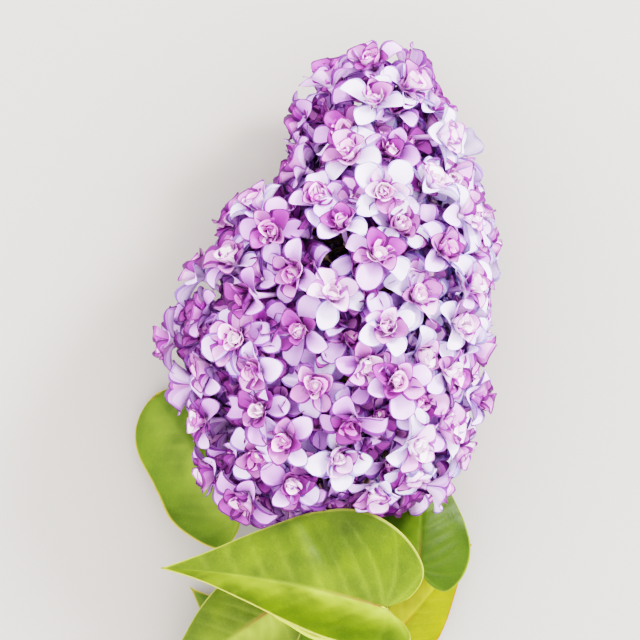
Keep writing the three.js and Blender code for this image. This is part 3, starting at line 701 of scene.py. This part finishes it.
# How far chance moves a blossom along the head, round it and outwards, and how much it varies its
# facing, its size and, in degrees, its cup: how steep its petals are.
LOOSE = dict(share=0.008, turn=6, depth=1, lean=0.45, size=0.08, cup=14)
MEAN_CUP = -2
PETAL_REACH = 12.4  # from a blossom's middle to the tips of its petals, and to the top of its heart
HEART_HEIGHT = 5.5
LEAF_ROOM = 2  # beside the front leaf, which lies against the head's foot, for a blossom
LEAF_HEADROOM = 9.5  # under that leaf
LEAF_YIELDS = [0, 2, 4, 6, 8]  # how far a blossom that meets that leaf may be pushed up the head
RING_MARKS = 8  # points round a blossom that are tested, half way out and at its petals' tips


def seeded(seed):
    """The same stream of numbers between 0 and 1 each time, from one seed."""
    state = seed
    while True:
        state = (state * 1664525 + 1013904223) & 0xFFFFFFFF
        yield state / 4294967296


def profile_at(u):
    """How far the blossoms stand from the axis to the right, left, front and back."""
    return np.array([np.interp(u, HEAD_PROFILE[:, 0], HEAD_PROFILE[:, c]) for c in (1, 2, 3, 4)])


def head_radius(u, degrees):
    """And how far they stand from it in any direction, with 0 degrees to the right."""
    right, left, front, back = profile_at(u)
    c = math.cos(math.radians(degrees))
    s = math.sin(math.radians(degrees))
    return (right if c > 0 else left) * c * c + (front if s > 0 else back) * s * s


def head_point(u, degrees):
    """A point on the head's surface."""
    right, above, _ = frame_on(direction(HEAD_AXIS, u))
    angle = math.radians(degrees)
    out = right * math.cos(angle) + above * math.sin(angle)
    return along(HEAD_AXIS, u) + out * head_radius(u, degrees)


def head_normal(u, degrees):
    """The way out of the head's surface, from points a little up, down and round it."""
    low = max(0, u - 0.03)
    high = min(1, u + 0.03)
    lengthwise = head_point(high, degrees) - head_point(low, degrees)
    across = head_point(u, degrees + 6) - head_point(u, degrees - 6)
    normal = unit(np.cross(lengthwise, across))
    return normal if normal @ (head_point(u, degrees) - along(HEAD_AXIS, u)) > 0 else -normal


def even_shares(count):
    """Shares of the axis that divide the head's surface evenly between the blossoms."""
    steps = 200
    girth = [profile_at((i + 0.5) / steps).sum() for i in range(steps)]
    sums = np.concatenate([[0], np.cumsum(girth)])
    return np.interp((np.arange(count) + 0.5) / count * sums[-1], sums, np.arange(steps + 1) / steps)


def spun(facing, degrees):
    """Axes for a blossom that faces one way, turned about it."""
    level = np.array([0.0, 1.0, 0.0]) if abs(facing[2]) > 0.95 else UP
    a = unit(np.cross(facing, level))
    b = np.cross(facing, a)
    first = a * math.cos(math.radians(degrees)) + b * math.sin(math.radians(degrees))
    return np.array([first, np.cross(facing, first), facing])


def blossom_places(layer):
    """Where each blossom of a layer sits, which way it faces and how it is turned."""
    stream = seeded(layer["seed"])

    def spread(amount):
        return (next(stream) - 0.5) * 2 * amount * layer["loose"]

    places = []
    for i, share in enumerate(even_shares(layer["count"])):
        u = min(1, max(0, share + spread(LOOSE["share"])))
        degrees = i * TURN + spread(LOOSE["turn"])
        depth = layer["depths"][i % 3] + spread(LOOSE["depth"])
        outward = head_normal(u, degrees)
        lean = np.array([spread(LOOSE["lean"]) for _ in range(3)])
        facing = unit(outward + lean)
        depth = max(depth, AXIS_ROOM - head_radius(u, degrees))
        middle = head_point(u, degrees) + outward * depth
        axes = spun(facing, next(stream) * 90)
        size = layer["size"] * (1 + spread(LOOSE["size"]))
        upright = math.sqrt(1 - facing[2] ** 2)
        lowest = min(-PETAL_REACH * upright, HEART_HEIGHT * facing[2] - upright) * size
        middle[2] += max(0, -(middle[2] + TO_FRAME[2] + lowest))
        cup = MEAN_CUP + spread(LOOSE["cup"])
        length = min(TUBE_LENGTH, head_radius(u, degrees) * TUBE_SHARE)
        places.append(dict(u=u, degrees=degrees, middle=middle, axes=axes, size=size, cup=cup,
                           tube=length, outer=layer["size"] == 1.0))
    return places


def grow_branches():
    """The side branches in crossed pairs, and the short one at the axis's tip."""
    found = []
    for pair in range(BRANCH_PAIRS):
        for side in (0, 180):
            u = mix(FIRST_PAIR, LAST_PAIR, pair / (BRANCH_PAIRS - 1))
            degrees = FIRST_PAIR_TURN + 90 * pair + side
            foot_share = max(LOWEST_FOOT, u - BRANCH_RISE)
            axis = along(HEAD_AXIS, foot_share)
            onward = direction(HEAD_AXIS, foot_share)
            out = unit(head_point(foot_share, degrees) - axis)
            foot = axis + out * mix(RACHIS_RADIUS, RACHIS_TIP_RADIUS, foot_share / RACHIS_END)
            far = head_point(u, degrees)
            reach = max(BRANCH_SHORTEST, np.linalg.norm(far - foot) - BRANCH_ROOM)
            found.append(dict(name=f"branch_{len(found) + 1:02d}", u=u, degrees=degrees, foot=foot,
                              tip=foot + unit(far - foot) * reach, out=out, onward=onward))
    onward = direction(HEAD_AXIS, RACHIS_END)
    found.append(dict(name="tip_branch", u=1, degrees=None, foot=along(HEAD_AXIS, RACHIS_END),
                      tip=along(HEAD_AXIS, RACHIS_END + TIP_BRANCH), out=onward, onward=onward))
    return found


def own_branch(place, found):
    """The branch that a blossom belongs to: the nearest over the head's surface."""
    length = np.linalg.norm(HEAD_AXIS[-1] - HEAD_AXIS[0])

    def distance(branch):
        onward = (place["u"] - branch["u"]) * length
        if branch["degrees"] is None:
            return abs(onward) * TIP_PULL
        turn = (place["degrees"] - branch["degrees"] + 180) % 360 - 180
        return math.hypot(onward, math.radians(turn) * head_radius(place["u"], place["degrees"]))

    return min(found, key=distance)


def curve(start, leaving, arriving, end, steps):
    """Points on a smooth curve that leaves and arrives in the given directions."""
    reach = np.linalg.norm(end - start) * 0.45
    t = np.linspace(0, 1, steps)[:, None]
    a, b, c, d = start, start + leaving * reach, end - arriving * reach, end
    return (1 - t) ** 3 * a + 3 * t * (1 - t) ** 2 * b + 3 * t * t * (1 - t) * c + t ** 3 * d


branch_list = grow_branches()
front_blade = grow_leaf(LEAVES[0])[0].reshape(-1, 3)
blossoms = []
around = np.radians(np.arange(RING_MARKS) * 360 / RING_MARKS)
for layer in LAYERS:
    for place in blossom_places(layer):
        ring = np.outer(np.cos(around), place["axes"][0]) + np.outer(np.sin(around), place["axes"][1])
        reach = PETAL_REACH * place["size"]
        marks = place["middle"] + np.concatenate([ring * 0, ring * reach / 2, ring * reach])
        for shift in LEAF_YIELDS:
            ways = marks[:, None] + [0, shift, 0] - front_blade[None]
            aside = np.linalg.norm(ways[..., :2], axis=2)
            if not ((aside < LEAF_ROOM) & (ways[..., 2] > -LEAF_HEADROOM)).any():
                place["middle"] = place["middle"] + [0, shift, 0]
                blossoms.append(place)
                break
stalk_parts = []
rachis_t = np.linspace(0, RACHIS_END, RACHIS_RINGS)
rachis_centres = np.array([along(HEAD_AXIS, u) for u in rachis_t])
rachis_radii = mix(RACHIS_RADIUS, RACHIS_TIP_RADIUS, rachis_t / RACHIS_END)
rachis_radii = rachis_radii[:, None] * four_angled(RACHIS_SIDES, RACHIS_ANGLES)
stalk_parts.append((*tube(rachis_centres, rachis_radii, RACHIS_SIDES), 0))
branch_radii = np.interp(np.linspace(0, 1, BRANCH_RINGS), [0, 0.2, 1], BRANCH_RADII)
for branch in branch_list:
    leaving = unit(branch["out"] + branch["onward"] * 0.3)
    steps = curve(branch["foot"] - branch["out"] * BRANCH_SINK, leaving,
                  unit(branch["tip"] - branch["foot"]), branch["tip"], BRANCH_RINGS)
    stalk_parts.append((*tube(steps, branch_radii, BRANCH_SIDES), 0))
for place in blossoms:
    branch = own_branch(place, branch_list)
    place["branch"] = branch["name"]
    facing = place["axes"][2]
    tube_foot = place["middle"] - facing * (THROAT * place["size"] + place["tube"])
    place["foot"] = tube_foot
    way = unit(branch["tip"] - branch["foot"])
    offset = tube_foot - branch["foot"]
    onward = offset @ way
    aside = np.linalg.norm(offset - way * onward)
    length = np.linalg.norm(branch["tip"] - branch["foot"])
    start = min(length, max(length * STALK_FIRST, onward - aside * STALK_SLANT))
    root = branch["foot"] + way * start
    leaving = unit(unit(tube_foot - root) + way * 0.4)
    route = curve(root, leaving, facing, tube_foot, STALK_RINGS)
    stalk_parts.append((*tube(route, np.linspace(*STALK_RADII, STALK_RINGS), STALK_SIDES), 0))
    cup = np.array([tube_foot + facing * height for height in CUP_HEIGHTS])
    stalk_parts.append((*tube(cup, CUP_RADII, CUP_SIDES), 1))

# Flower stalk: soft green tissue with a faint bloom of wax, which keeps its highlights dull.
stalk, tree = new_material("soft_green_stalk")
patch = node(tree, "ShaderNodeTexNoise", {"Scale": 260.0, "Detail": 3.0})
flush = node(tree, "ShaderNodeMapRange", {"Value": patch, 1: 0.45, 2: 0.8})
green = node(tree, "ShaderNodeMixRGB", {
    "Fac": flush, "Color1": colour("#93855f"), "Color2": colour("#84567c")})
finish_surface(tree, {"Base Color": green, "Roughness": 0.55})
cup_green, tree = new_material("purple_green_cup")
finish_surface(tree, {"Base Color": colour("#86775f"), "Roughness": 0.5})

points, faces, slots = join(stalk_parts)
stalks = make_piece("flower_stalks", points, faces, [stalk, cup_green], slots)
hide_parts("rachis", *(branch["name"] for branch in branch_list))

# ---- Blossoms ----
# Each blossom is a slim tube that opens into four broad outer petals that bend back, four hooded ones
# inside them and a small closed heart. Petals are thin and soft, and darker on the back and the rim.
PETAL_MARGIN = np.array([  # half of a petal's outline, from its claw, in petal lengths
    [0, 0.08],
    [0.1, 0.115],
    [0.24, 0.21],
    [0.38, 0.3],
    [0.52, 0.35],
    [0.66, 0.355],
    [0.8, 0.28],
])
TIP_LENGTH = 0.19  # from the last of those points to the tip, where the two margins meet
TIP_ROUNDNESS = 1.55  # 2 is a round tip and 1 a pointed one
EDGE_PACKING = 1.33  # the higher, the closer a petal's rows and columns lie towards its rim
PETAL_THICKNESS = 0.26
# For each ring of petals: its tints, how many, the turn of the first, where they start, their length
# and width, how they rise at the throat, the middle and the tip in degrees, how hollow and how
# creased they are across, how much chance varies the three angles, the size and the hook of the tip,
# and the rows and columns of a petal's mesh in the outer layer of blossoms and in the deep one.
WHORLS = [
    dict(kind="outer", count=4, turn=0, start=1.0, height=-0.2, length=12.2, width=0.98,
         rise=[55, 8, -26], hollow=0.36, crease=0.28, loose=[8, 19, 28, 0.1], hook=50,
         grids=[(10, 9), (8, 7)]),
    dict(kind="inner", count=4, turn=45, start=0.8, height=0.3, length=10.4, width=1.02,
         rise=[62, 32, 56], hollow=0.7, crease=0.12, loose=[8, 24, 40, 0.12], hook=55,
         grids=[(9, 9), (7, 7)]),
    dict(kind="heart", count=3, turn=12, start=0.8, height=0.4, length=8.0, width=1.3,
         rise=[58, 60, 96], hollow=0.8, crease=0, loose=[6, 14, 26, 0.14], hook=30,
         grids=[(8, 7), None]),
    dict(kind="heart", count=3, turn=70, start=0.4, height=0.6, length=6.8, width=1.5,
         rise=[40, 74, 160], hollow=0.85, crease=0, loose=[5, 8, 14, 0.08], hook=20,
         grids=[(8, 7), (6, 5)]),
]
# Colours of each ring of petals, from dark blossoms to pale ones: throat, blade, edge and rim.
TINTS = {
    "outer": {
        "deep": ["#caa6dd", "#debfee", "#c89cde", "#7c4696"],
        "soft": ["#d6b8ea", "#e8d1f5", "#d2b2e9", "#885aa8"],
        "pale": ["#dacbf3", "#ebdffb", "#dac6f3", "#9074c0"],
        "white": ["#e1dff9", "#f0eefd", "#e3dcf8", "#a69cd8"],
    },
    "inner": {
        "deep": ["#a85aa2", "#cc94ca", "#a85cac", "#64266c"],
        "soft": ["#c084bc", "#deb0dc", "#be84be", "#72307c"],
        "pale": ["#d8acd5", "#eecdec", "#d4a2d5", "#844294"],
        "white": ["#eedaf0", "#f7e8fa", "#ebcef0", "#a86cba"],
    },
    "heart": {
        "deep": ["#cc70be", "#f2d4ee", "#e09cd8", "#8a3690"],
        "soft": ["#e4a4d6", "#f9e8f6", "#eebee4", "#a050a6"],
        "pale": ["#f0d0e8", "#fcf4fb", "#f4d8ee", "#b478bc"],
        "white": ["#f5e3f0", "#fefbfe", "#f8ecf7", "#caa0cc"],
    },
}
TINT_NAMES = ["deep", "soft", "pale", "white"]
ZONE_NAMES = ["throat", "blade", "edge", "rim"]
# How much chance varies each petal's hollow, crease, rolled lips and wavy rim, and in degrees how
# far it twists along its length and turns round the blossom.
PETAL_CHANCE = dict(hollow=0.18, crease=0.8, lip=0.16, wave=0.045, twist=20, turn=8)
LIP_ROLL = 0.3  # of a lip, as a share of the petal's hollow
CREASE_SOFTNESS = 0.2  # square millimetres
CLAW_DEPTH = 0.5  # how much more hollow a petal is at its claw
CLAW_REACH = 0.2  # in petal lengths
THROAT_REACH = 0.16  # of the throat's angle, in petal lengths
PATH_STEPS = 60  # along a petal's middle line
SETTLING_HEIGHT = 2  # below this height petals bend along the surface that the head lies on
PIECE_LIMIT = 190000  # triangles in one joined piece


def petal_grid(rows, columns):
    """Where a petal's points lie along it and across it, in petal lengths, and in its grid."""
    packing = math.sin(EDGE_PACKING)
    row = (np.sin(np.linspace(0, 1, rows) * EDGE_PACKING) / packing)[:, None]
    column = np.sin(np.linspace(-1, 1, columns) * EDGE_PACKING) / packing
    margin = np.array([along(PETAL_MARGIN, t) for t in row[:, 0]])
    x = margin[:, :1] + TIP_LENGTH * row ** 2 * (1 - np.abs(column) ** TIP_ROUNDNESS)
    y = margin[:, 1:] * column
    return x, y, row, column


def petal_faces(rows, columns):
    """Faces of one petal, whose two sides meet in its rim, and the zone of each face."""
    front = np.arange(rows * columns).reshape(rows, columns)
    back = front.copy()
    inside = np.arange((rows - 2) * (columns - 2)).reshape(rows - 2, columns - 2)
    back[1:-1, 1:-1] = rows * columns + inside
    faces = []
    zones = []
    for side, grid in enumerate((front, back)):
        for i in range(rows - 1):
            for j in range(columns - 1):
                corners = [int(grid[i, j]), int(grid[i + 1, j])]
                corners += [int(grid[i + 1, j + 1]), int(grid[i, j + 1])]
                to_rim = min(j, columns - 2 - j, rows - 2 - i)
                zone = 3 if to_rim == 0 else 2 if to_rim == 1 or side else 0 if i == 0 else 1
                faces.append(corners[::-1] if side else corners)
                zones.append(zone)
    return faces, zones


def grow_petals(whorl, places, grid, chance):
    """The points of all the petals of one ring over many blossoms, petal by petal."""
    x, y, row, column = petal_grid(*grid)
    each = whorl["count"]
    count = len(places) * each

    def vary(amount):
        return chance.uniform(-1, 1, count) * amount

    def every(name):
        return np.repeat([place[name] for place in places], each)

    def spread_out(values):
        return values[:, None, None]

    throat, middle, tip = whorl["rise"]
    throat_loose, middle_loose, tip_loose, size_loose = whorl["loose"]
    closing = every("closing")
    size = every("size")
    throat = throat + vary(throat_loose)
    middle = middle + every("cup") + vary(middle_loose) + closing
    tip = tip + every("cup") + vary(tip_loose) + closing * 1.3
    hook = vary(whorl["hook"]) - whorl["hook"] / 3
    length = whorl["length"] * size * (1 + vary(size_loose))
    width = spread_out(length * whorl["width"] * (1 + vary(size_loose)))
    hollow = spread_out(whorl["hollow"] + vary(PETAL_CHANCE["hollow"]))
    crease = spread_out(whorl["crease"] * (1 + vary(PETAL_CHANCE["crease"])))
    lip = spread_out(whorl["hollow"] * LIP_ROLL + vary(PETAL_CHANCE["lip"]))
    wave = spread_out(vary(PETAL_CHANCE["wave"]) * length)
    phase = spread_out(chance.uniform(0, 6, count))
    twist = spread_out(np.radians(vary(PETAL_CHANCE["twist"]))) * x
    length = spread_out(length)
    scale = spread_out(size)

    # A petal's middle line bends from the throat's angle to the tip's, so its path is summed.
    fine = np.linspace(0, 1, PATH_STEPS)
    bend = middle[:, None] + (throat - middle)[:, None] * np.exp(-fine / THROAT_REACH)
    bend = bend + (tip - middle)[:, None] * fine ** 3 + hook[:, None] * fine ** 9
    bend = np.radians(bend)
    start = np.zeros((count, 1))
    out = np.concatenate([start, np.cumsum(np.cos(bend), 1)[:, :-1]], 1) / (PATH_STEPS - 1)
    up = np.concatenate([start, np.cumsum(np.sin(bend), 1)[:, :-1]], 1) / (PATH_STEPS - 1)
    index = np.clip(x * (PATH_STEPS - 1), 0, PATH_STEPS - 1.001)
    before = index.astype(int)
    part = index - before
    angle = bend[:, before] * (1 - part) + bend[:, before + 1] * part
    reach = out[:, before] * (1 - part) + out[:, before + 1] * part
    height = up[:, before] * (1 - part) + up[:, before + 1] * part

    # Across, it is hollow and creased along the middle, its lips roll, and its rim is a little wavy.
    across = y * width
    half = np.abs(y).max() * width
    claw = CLAW_DEPTH * np.exp(-x / CLAW_REACH)
    lift = (hollow + claw) * across ** 2 / half
    lift = lift + crease * (np.sqrt(across ** 2 + CREASE_SOFTNESS) - math.sqrt(CREASE_SOFTNESS))
    lift = lift + lip * half * np.abs(column) ** 5
    lift = lift + wave * np.sin(x * 8 + phase) * column ** 2
    across, lift = (across * np.cos(twist) - lift * np.sin(twist),
                    across * np.sin(twist) + lift * np.cos(twist))
    reach = whorl["start"] * scale + reach * length - lift * np.sin(angle)
    height = whorl["height"] * scale + height * length + lift * np.cos(angle)

    around = np.tile(np.arange(each) * 360 / each + whorl["turn"], len(places))
    around = spread_out(np.radians(around + vary(PETAL_CHANCE["turn"])))
    flat = np.stack([
        reach * np.cos(around) - across * np.sin(around),
        reach * np.sin(around) + across * np.cos(around),
        height,
    ], -1)
    axes = np.repeat(np.array([place["axes"] for place in places]), each, 0)
    middles = np.repeat(np.array([place["middle"] for place in places]), each, 0)
    front = np.einsum("nrck,nkd->nrcd", flat, axes) + middles[:, None, None]
    normal = np.cross(np.gradient(front, axis=1), np.gradient(front, axis=2))
    normal = normal / np.maximum(np.linalg.norm(normal, axis=-1, keepdims=True), 1e-9)
    depth = PETAL_THICKNESS * (1 - np.abs(column) ** 6) * (1 - row ** 6)
    back = (front + normal * depth[None, ..., None])[:, 1:-1, 1:-1]
    return np.concatenate([front.reshape(count, -1, 3), back.reshape(count, -1, 3)], 1)


def settled(points):
    """The points, with those near the surface that the head lies on bent to stay above it."""
    points = points.copy()
    height = points[..., 2] + TO_FRAME[2]
    low = np.minimum(height, SETTLING_HEIGHT)
    points[..., 2] += SETTLING_HEIGHT * np.exp(low / SETTLING_HEIGHT - 1) - low
    return points


# Lilac petal: soft, matt and slightly translucent tissue, so light that falls on one side glows on
# the other, but not through the closed heart. Each zone of a petal is one plain colour, and chance,
# age and painted light and shade deal the tints out blossom by blossom.
petal_slots = {}
petal_materials = []
for kind, tints in TINTS.items():
    for tint, codes in tints.items():
        petal_slots[kind, tint] = len(petal_materials)
        for zone, code in zip(ZONE_NAMES, codes):
            material, tree = new_material(f"{tint}_{kind}_petal_{zone}")
            skin = {"Base Color": colour(code), "Roughness": 0.55,
                    "Sheen Weight": 0.15, "Sheen Roughness": 0.5}
            finish_surface(tree, skin, colour(code), 0.0 if kind == "heart" else 0.18)
            petal_materials.append(material)

# A blossom opens and pales as it ages, from the head's foot up. Painted light and shade also set its
# tints: paler where it faces the lamp at the upper right, darker facing away and in the deep layer.
MOST_CLOSED = 34  # degrees that the youngest blossoms' petals stand steeper
YOUNG_BY_CHANCE = 0.7  # how young chance may make a blossom, where 1 is the youngest
YOUNG_FROM = 0.8  # share of the axis, above which they are younger
YOUNG_RISE = 1.6  # and how much younger in the whole axis's length
ALL_DARKER = 0.12
# Painted shade: the deep layer's blossoms, seen in the gaps among the outer ones, get darker tints.
DEEP_LAYER_PAINTED_SHADE = 0.35
DARKER_FROM = 0.72
DARKER_RISE = 2
# Painted light and shade: tints paler for blossoms facing this way, towards the lamp, darker facing
# away.
PAINTED_LIGHT_PALER = 0.6
PAINTED_LIGHT_WAY = unit(np.array([0.8, 0.25, 0.35]))
# For each ring of petals: how fast its tints follow a blossom's paleness, and where chance puts them.
TINT_CHANCE = {"outer": (3, 0.1, 1.1), "inner": (3.1, -0.5, 0.5), "heart": (2, 0.4, 1.6)}
chance = np.random.RandomState(71)
for place in blossoms:
    youth = chance.uniform(0, 1) ** 2 * YOUNG_BY_CHANCE + YOUNG_RISE * max(0, place["u"] - YOUNG_FROM)
    place["closing"] = MOST_CLOSED * min(1, youth)
    # Painted light: paler facing the lamp, darker facing away. Painted shade: darker in the deep layer.
    paleness_and_painted_light = chance.uniform(0, 1) - ALL_DARKER + PAINTED_LIGHT_PALER * place["axes"][2] @ PAINTED_LIGHT_WAY
    paleness_and_painted_light -= (0 if place["outer"] else DEEP_LAYER_PAINTED_SHADE) + DARKER_RISE * max(0, place["u"] - DARKER_FROM)
    place["tints"] = {kind: int(np.clip(paleness_and_painted_light * follow + chance.uniform(low, high), 0, 3))
                      for kind, (follow, low, high) in TINT_CHANCE.items()}

branch_petals = {branch["name"]: [] for branch in branch_list}
for outer_layer in (True, False):
    layer_places = [place for place in blossoms if place["outer"] == outer_layer]
    for whorl in WHORLS:
        grid = whorl["grids"][0 if outer_layer else 1]
        if grid is None:
            continue
        faces, zones = petal_faces(*grid)
        petals = settled(grow_petals(whorl, layer_places, grid, chance))
        for k, petal in enumerate(petals):
            place = layer_places[k // whorl["count"]]
            step = chance.choice([-1, 0, 0, 1])
            tint = TINT_NAMES[int(np.clip(place["tints"][whorl["kind"]] + step, 0, 3))]
            first_slot = petal_slots[whorl["kind"], tint]
            branch_petals[place["branch"]].append((petal, faces, [first_slot + zone for zone in zones]))


def joined_petals(name, own_branches, petals):
    """One piece of all the petals that grow on some branches."""
    points, faces, slots = join(petals)
    piece = make_piece(name, points, faces, petal_materials, slots)
    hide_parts(*own_branches)


waiting = []
names = []
pieces_made = 0
for branch in branch_list:
    grown = branch_petals[branch["name"]]
    triangles = sum(len(faces) * 2 for _, faces, _ in waiting + grown)
    if triangles > PIECE_LIMIT:
        pieces_made += 1
        joined_petals(f"petals_{pieces_made}", names, waiting)
        waiting = []
        names = []
    waiting = waiting + grown
    names.append(branch["name"])
joined_petals(f"petals_{pieces_made + 1}", names, waiting)

# The tubes under the petals: slim, smooth and pale, swelling at the mouth. Inside the heart's petals
# is a tight bud of the youngest ones, cream and egg-shaped.
TUBE_SHARES = np.array([0, 0.35, 0.7, 0.9, 1])  # of its length, from its foot
TUBE_RADII = np.array([0.75, 0.85, 0.95, 1.2, 1.7])
EGG_HEIGHTS = np.array([0, 0.8, 1.9, 3.1, 4, 4.4])
EGG_RADII = np.array([0.8, 1.4, 1.75, 1.5, 0.9, 0.2])
TUBE_SIDES = 8
TUBE_LILAC = colour("#d0b0e0")
tube_skin, tree = new_material("pale_lilac_tube")
finish_surface(tree, {"Base Color": TUBE_LILAC, "Roughness": 0.5}, TUBE_LILAC, 0.25)
bud_skin, tree = new_material("cream_petal_bud")
finish_surface(tree, {"Base Color": colour("#faeef7"), "Roughness": 0.6})
tube_parts = []
for place in blossoms:
    facing = place["axes"][2]
    size = place["size"]
    mouth = place["middle"] + facing * 0.1
    centres = place["foot"] + np.outer(TUBE_SHARES, mouth - place["foot"])
    tube_parts.append((*tube(centres, TUBE_RADII * size, TUBE_SIDES), 0))
    egg = place["middle"] + np.outer(EGG_HEIGHTS * size, facing)
    tube_parts.append((*tube(egg, EGG_RADII * size, TUBE_SIDES), 1))
points, faces, slots = join(tube_parts)
tubes = make_piece("blossom_tubes", settled(points), faces, [tube_skin, bud_skin], slots)
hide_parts(*branch_petals)

# ---- Studio ----
# A plain pale floor in even pale light, one soft lamp from the upper right, a weak wide one from the
# left, and a camera straight above, far enough off to see the sprig with hardly any perspective.
FLOOR_REACH = 9  # metres each way, so that its edge is out of sight in low views too
LAMPS = {  # the way to each lamp, its width in metres and its power in watts
    "key": ((0.8, 0.6, 0.8), 0.35, 28),
    "fill": ((-0.8, -0.1, 0.7), 1.2, 1),
}
LAMP_DISTANCE = 1.6  # metres
SURROUND_STRENGTH = 3.0
VIEW_LEVEL = 60  # in the sprig's own layout, where the view is VIEW_WIDTH across
VIEW_WIDTH = 224
CAMERA_DISTANCE = 1000  # from that level
SENSOR_WIDTH = 36
floor_mesh = bpy.data.meshes.new("floor")
corners = [(x * FLOOR_REACH, y * FLOOR_REACH, 0) for x, y in ((-1, -1), (1, -1), (1, 1), (-1, 1))]
floor_mesh.from_pydata(corners, [], [(0, 1, 2, 3)])
floor = bpy.data.objects.new("floor", floor_mesh)
bpy.context.scene.collection.objects.link(floor)
paper, tree = new_material("matt_pale_paper")
finish_surface(tree, {"Base Color": colour("#9a9893"), "Roughness": 0.8})
floor_mesh.materials.append(paper)

middle_of_view = (TO_FRAME + [0, 0, VIEW_LEVEL]) / 1000
for name, (way, size, power) in LAMPS.items():
    lamp = bpy.data.lights.new(name, "AREA")
    lamp.size = size
    lamp.energy = power
    holder = bpy.data.objects.new(name, lamp)
    towards = unit(np.array(way))
    holder.location = middle_of_view + towards * LAMP_DISTANCE
    holder.rotation_euler = Vector(-towards).to_track_quat("-Z", "Y").to_euler()
    bpy.context.scene.collection.objects.link(holder)
world = bpy.data.worlds.new("studio")
world.use_nodes = True
world.node_tree.nodes["Background"].inputs["Color"].default_value = colour("#f7f2f3")
world.node_tree.nodes["Background"].inputs["Strength"].default_value = SURROUND_STRENGTH
bpy.context.scene.world = world
# Filmic rolls off the bright petals softly, and its strongest contrast keeps the shade among them.
bpy.context.scene.view_settings.view_transform = "Filmic"
bpy.context.scene.view_settings.look = "Very High Contrast"

lens = bpy.data.cameras.new("camera")
lens.sensor_width = SENSOR_WIDTH
lens.lens = SENSOR_WIDTH * CAMERA_DISTANCE / VIEW_WIDTH
lens.clip_end = 20
camera = bpy.data.objects.new("camera", lens)
camera.location = middle_of_view + np.array([0, 0, CAMERA_DISTANCE / 1000])
bpy.context.scene.collection.objects.link(camera)
bpy.context.scene.camera = camera
